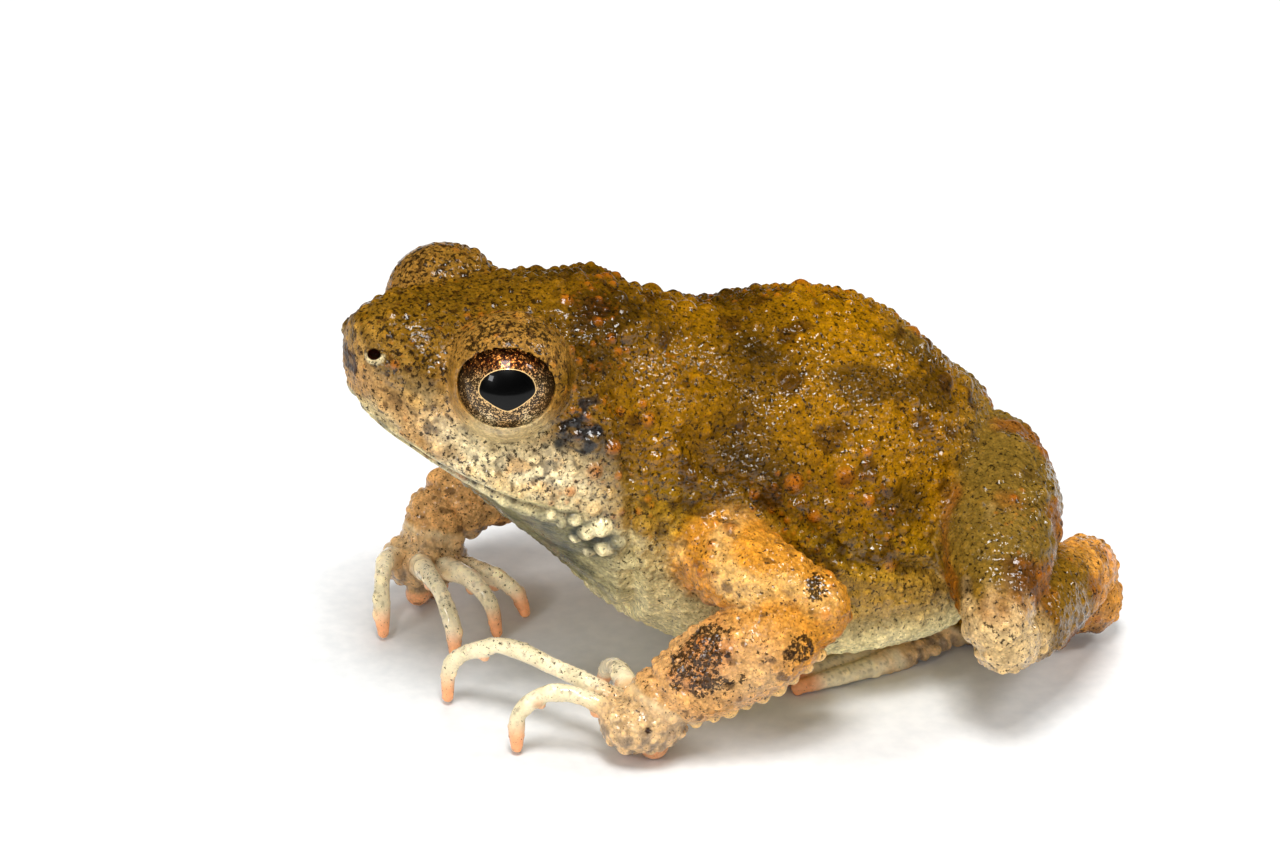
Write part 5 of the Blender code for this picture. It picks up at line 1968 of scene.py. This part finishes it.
@dataclass(frozen=True)
class WhitePaper:
    """Matt white paper: pale and even, with faint cloudy fibres."""

    light: str = "#E6E6E5"
    shade: str = "#DDDEDE"
    fibre: float = 0.6
    roughness: float = 0.7

    def build(self) -> bpy.types.Material:
        """The material: two near whites in patches as wide as the fibres.

        Returns:
            The material.
        """
        material = bpy.data.materials.new("white_paper")
        material.use_nodes = True
        tree = material.node_tree
        shader = tree.nodes["Principled BSDF"]
        place = add_node(tree, "TexCoord").outputs["Object"]
        fibre = add_node(tree, "TexNoise", {}, {"Vector": place, "Scale": 1 / (self.fibre * MM)})
        cloud = add_node(tree, "MapRange", {}, {
            "Value": fibre.outputs["Fac"], "From Min": 0.3, "From Max": 0.7})
        mixed = add_node(tree, "Mix", {"data_type": "RGBA"}, {
            0: cloud, 6: linear(self.shade), 7: linear(self.light)})
        tree.links.new(mixed.outputs[2], shader.inputs["Base Color"])
        shader.inputs["Roughness"].default_value = self.roughness
        return material


@dataclass
class FrogEye:
    """One eyeball with its bulging cornea."""

    head: HeadPlan
    side: Side
    cornea_rise: float = 0.05
    # Shares of the radius along the eye's axis between which the cornea rises.
    cornea_edge: Tuple[float, float] = (0.55, 0.98)
    # Places behind the waist are painted as if this much farther out, beyond the iris.
    back_facing: float = 6.0

    def build(self, shift: Vector, material: bpy.types.Material) -> bpy.types.Object:
        """The eyeball as an object in metres.

        Args:
            shift: where the design origin lies in the scene.
            material: the eye's finish.

        Returns:
            The object, which replaces the plain ball.
        """
        points, faces = ball((0, 0, 0), (1, 1, 1), sides=96)
        bulge = 1 + self.cornea_rise * smoothstep(*self.cornea_edge, points[:, 2])
        local = points * (self.head.eye_radius * bulge)[:, None]
        turned = local @ aim(self.side.place(self.head.eye_axis)).T + self.side.place(self.head.eye)
        made = object_from("eye_ball_" + self.side.label, (turned * MM + np.array(shift), faces))
        data = made.data
        data.shade_smooth()
        layer = data.attributes.new("eye_place", "FLOAT_VECTOR", "POINT")
        facing = np.where(local[:, 2:3] > 0, 1.0, self.back_facing)
        layer.data.foreach_set("vector", (local * facing).astype(np.float32).ravel())
        data.materials.append(material)
        data.update()
        return made


@dataclass(frozen=True)
class Lamp:
    """A square light: where it stands seen from the frog, how far off, how wide and how strong."""

    name: str
    direction: Point
    away: float
    size: float
    watts: float
    glints: bool


@dataclass
class Studio:
    """Pale floor, soft lights and the photo's viewpoint."""

    azimuth: float = 68.0
    elevation: float = 25.0
    distance: float = 230.0
    target: Point = (0.0, 11.9, 9.7)
    pixels_per_mm: float = 27.0
    image_width: int = 1280
    sensor: float = 36.0
    clip: Tuple[float, float] = (0.01, 10.0)
    # Distances and sizes in metres. Wet surfaces mirror the first four.
    lamps: Tuple[Lamp, ...] = (
        Lamp("key", (0.34, -0.16, 0.93), 0.30, 0.10, 0.72, True),
        Lamp("side", (0.30, 0.80, 0.75), 0.32, 0.07, 0.34, True),
        Lamp("front", (0.55, -0.95, 0.65), 0.32, 0.06, 0.20, True),
        Lamp("spark", (0.55, -0.14, 0.82), 0.30, 0.022, 0.13, True),
        Lamp("fill", (0.9, -0.5, 0.45), 0.32, 0.22, 0.28, False),
        Lamp("back", (-0.8, 0.3, 0.7), 0.32, 0.16, 0.30, False))
    # Light from all round, as linear colour.
    air: Tuple[float, float, float, float] = (0.96, 0.98, 1.0, 1.0)
    air_strength: float = 0.32
    floor_half: float = 2.0
    floor_drop: float = 0.00002

    def build(self, shift: Vector) -> None:
        """Make the camera, the lights, the floor and the surrounding light.

        Args:
            shift: where the design origin lies in the scene.
        """
        focus = Vector(self.target) * MM + shift
        self._camera(focus)
        for lamp in self.lamps:
            self._light(lamp, focus)
        world = bpy.data.worlds.new("soft_studio")
        world.use_nodes = True
        world.node_tree.nodes["Background"].inputs["Color"].default_value = self.air
        world.node_tree.nodes["Background"].inputs["Strength"].default_value = self.air_strength
        world.cycles_visibility.glossy = False
        bpy.context.scene.world = world
        bpy.context.scene.view_settings.view_transform = "Standard"
        self._floor()

    def _camera(self, focus: Vector) -> None:
        """The camera at the photo's viewpoint.

        Args:
            focus: the place that it faces.
        """
        az, el = math.radians(self.azimuth), math.radians(self.elevation)
        out = Vector((math.sin(az) * math.cos(el), -math.cos(az) * math.cos(el), math.sin(el)))
        data = bpy.data.cameras.new("photo_view")
        seen = self.image_width / self.pixels_per_mm
        data.sensor_width, data.lens = self.sensor, self.sensor * self.distance / seen
        data.clip_start, data.clip_end = self.clip
        camera = bpy.data.objects.new("photo_view", data)
        camera.location = focus + out * self.distance * MM
        camera.rotation_euler = (-out).to_track_quat("-Z", "Y").to_euler()
        bpy.context.scene.collection.objects.link(camera)
        bpy.context.scene.camera = camera

    def _light(self, lamp: Lamp, focus: Vector) -> None:
        """One square light that faces the frog.

        Args:
            lamp: the light's sizes.
            focus: the place that it faces.
        """
        data = bpy.data.lights.new(lamp.name, "AREA")
        data.size, data.energy = lamp.size, lamp.watts
        direction = Vector(lamp.direction)
        made = bpy.data.objects.new(lamp.name, data)
        made.location = focus + direction.normalized() * lamp.away
        made.rotation_euler = direction.to_track_quat("Z", "Y").to_euler()
        made.visible_glossy = lamp.glints
        bpy.context.scene.collection.objects.link(made)

    def _floor(self) -> None:
        """A pale matt sheet under the frog."""
        data = bpy.data.meshes.new("pale_floor")
        shape = bmesh.new()
        bmesh.ops.create_grid(shape, x_segments=2, y_segments=2, size=self.floor_half)
        shape.to_mesh(data)
        shape.free()
        floor = bpy.data.objects.new("pale_floor", data)
        floor.location.z = -self.floor_drop
        bpy.context.scene.collection.objects.link(floor)
        data.materials.append(WhitePaper().build())


def flesh_nodes(frame: Dict[str, object]) -> List[str]:
    """Every node that the skin stands for: all but the eyes."""
    return sorted(name for name in frame["nodes"] if not name.startswith("eye_"))


def main() -> None:
    """Build the skin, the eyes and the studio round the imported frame."""
    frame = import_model()
    head = HeadPlan()
    low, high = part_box("eye_left")
    shift = (low + high) / 2 - Vector(head.eye) * MM
    Studio().build(shift)
    log.info("studio ready")
    surface = FrogSkin(Trunk(), head, Limbs()).build()
    skin = surface.to_object(shift, "frog_skin")
    skin.data.materials.append(MoistFrogSkin().build())
    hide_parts(*flesh_nodes(frame))
    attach(skin, "root")
    log.info("skin of %d faces", len(skin.data.polygons))
    iris = FrogIris().build()
    for side in Side:
        eye = FrogEye(head, side).build(shift, iris)
        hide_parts("eye_" + side.label)
        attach(eye, "root")
        log.info("%s eye", side.label)
    bpy.context.view_layer.update()


if __name__ == "__main__":
    main()
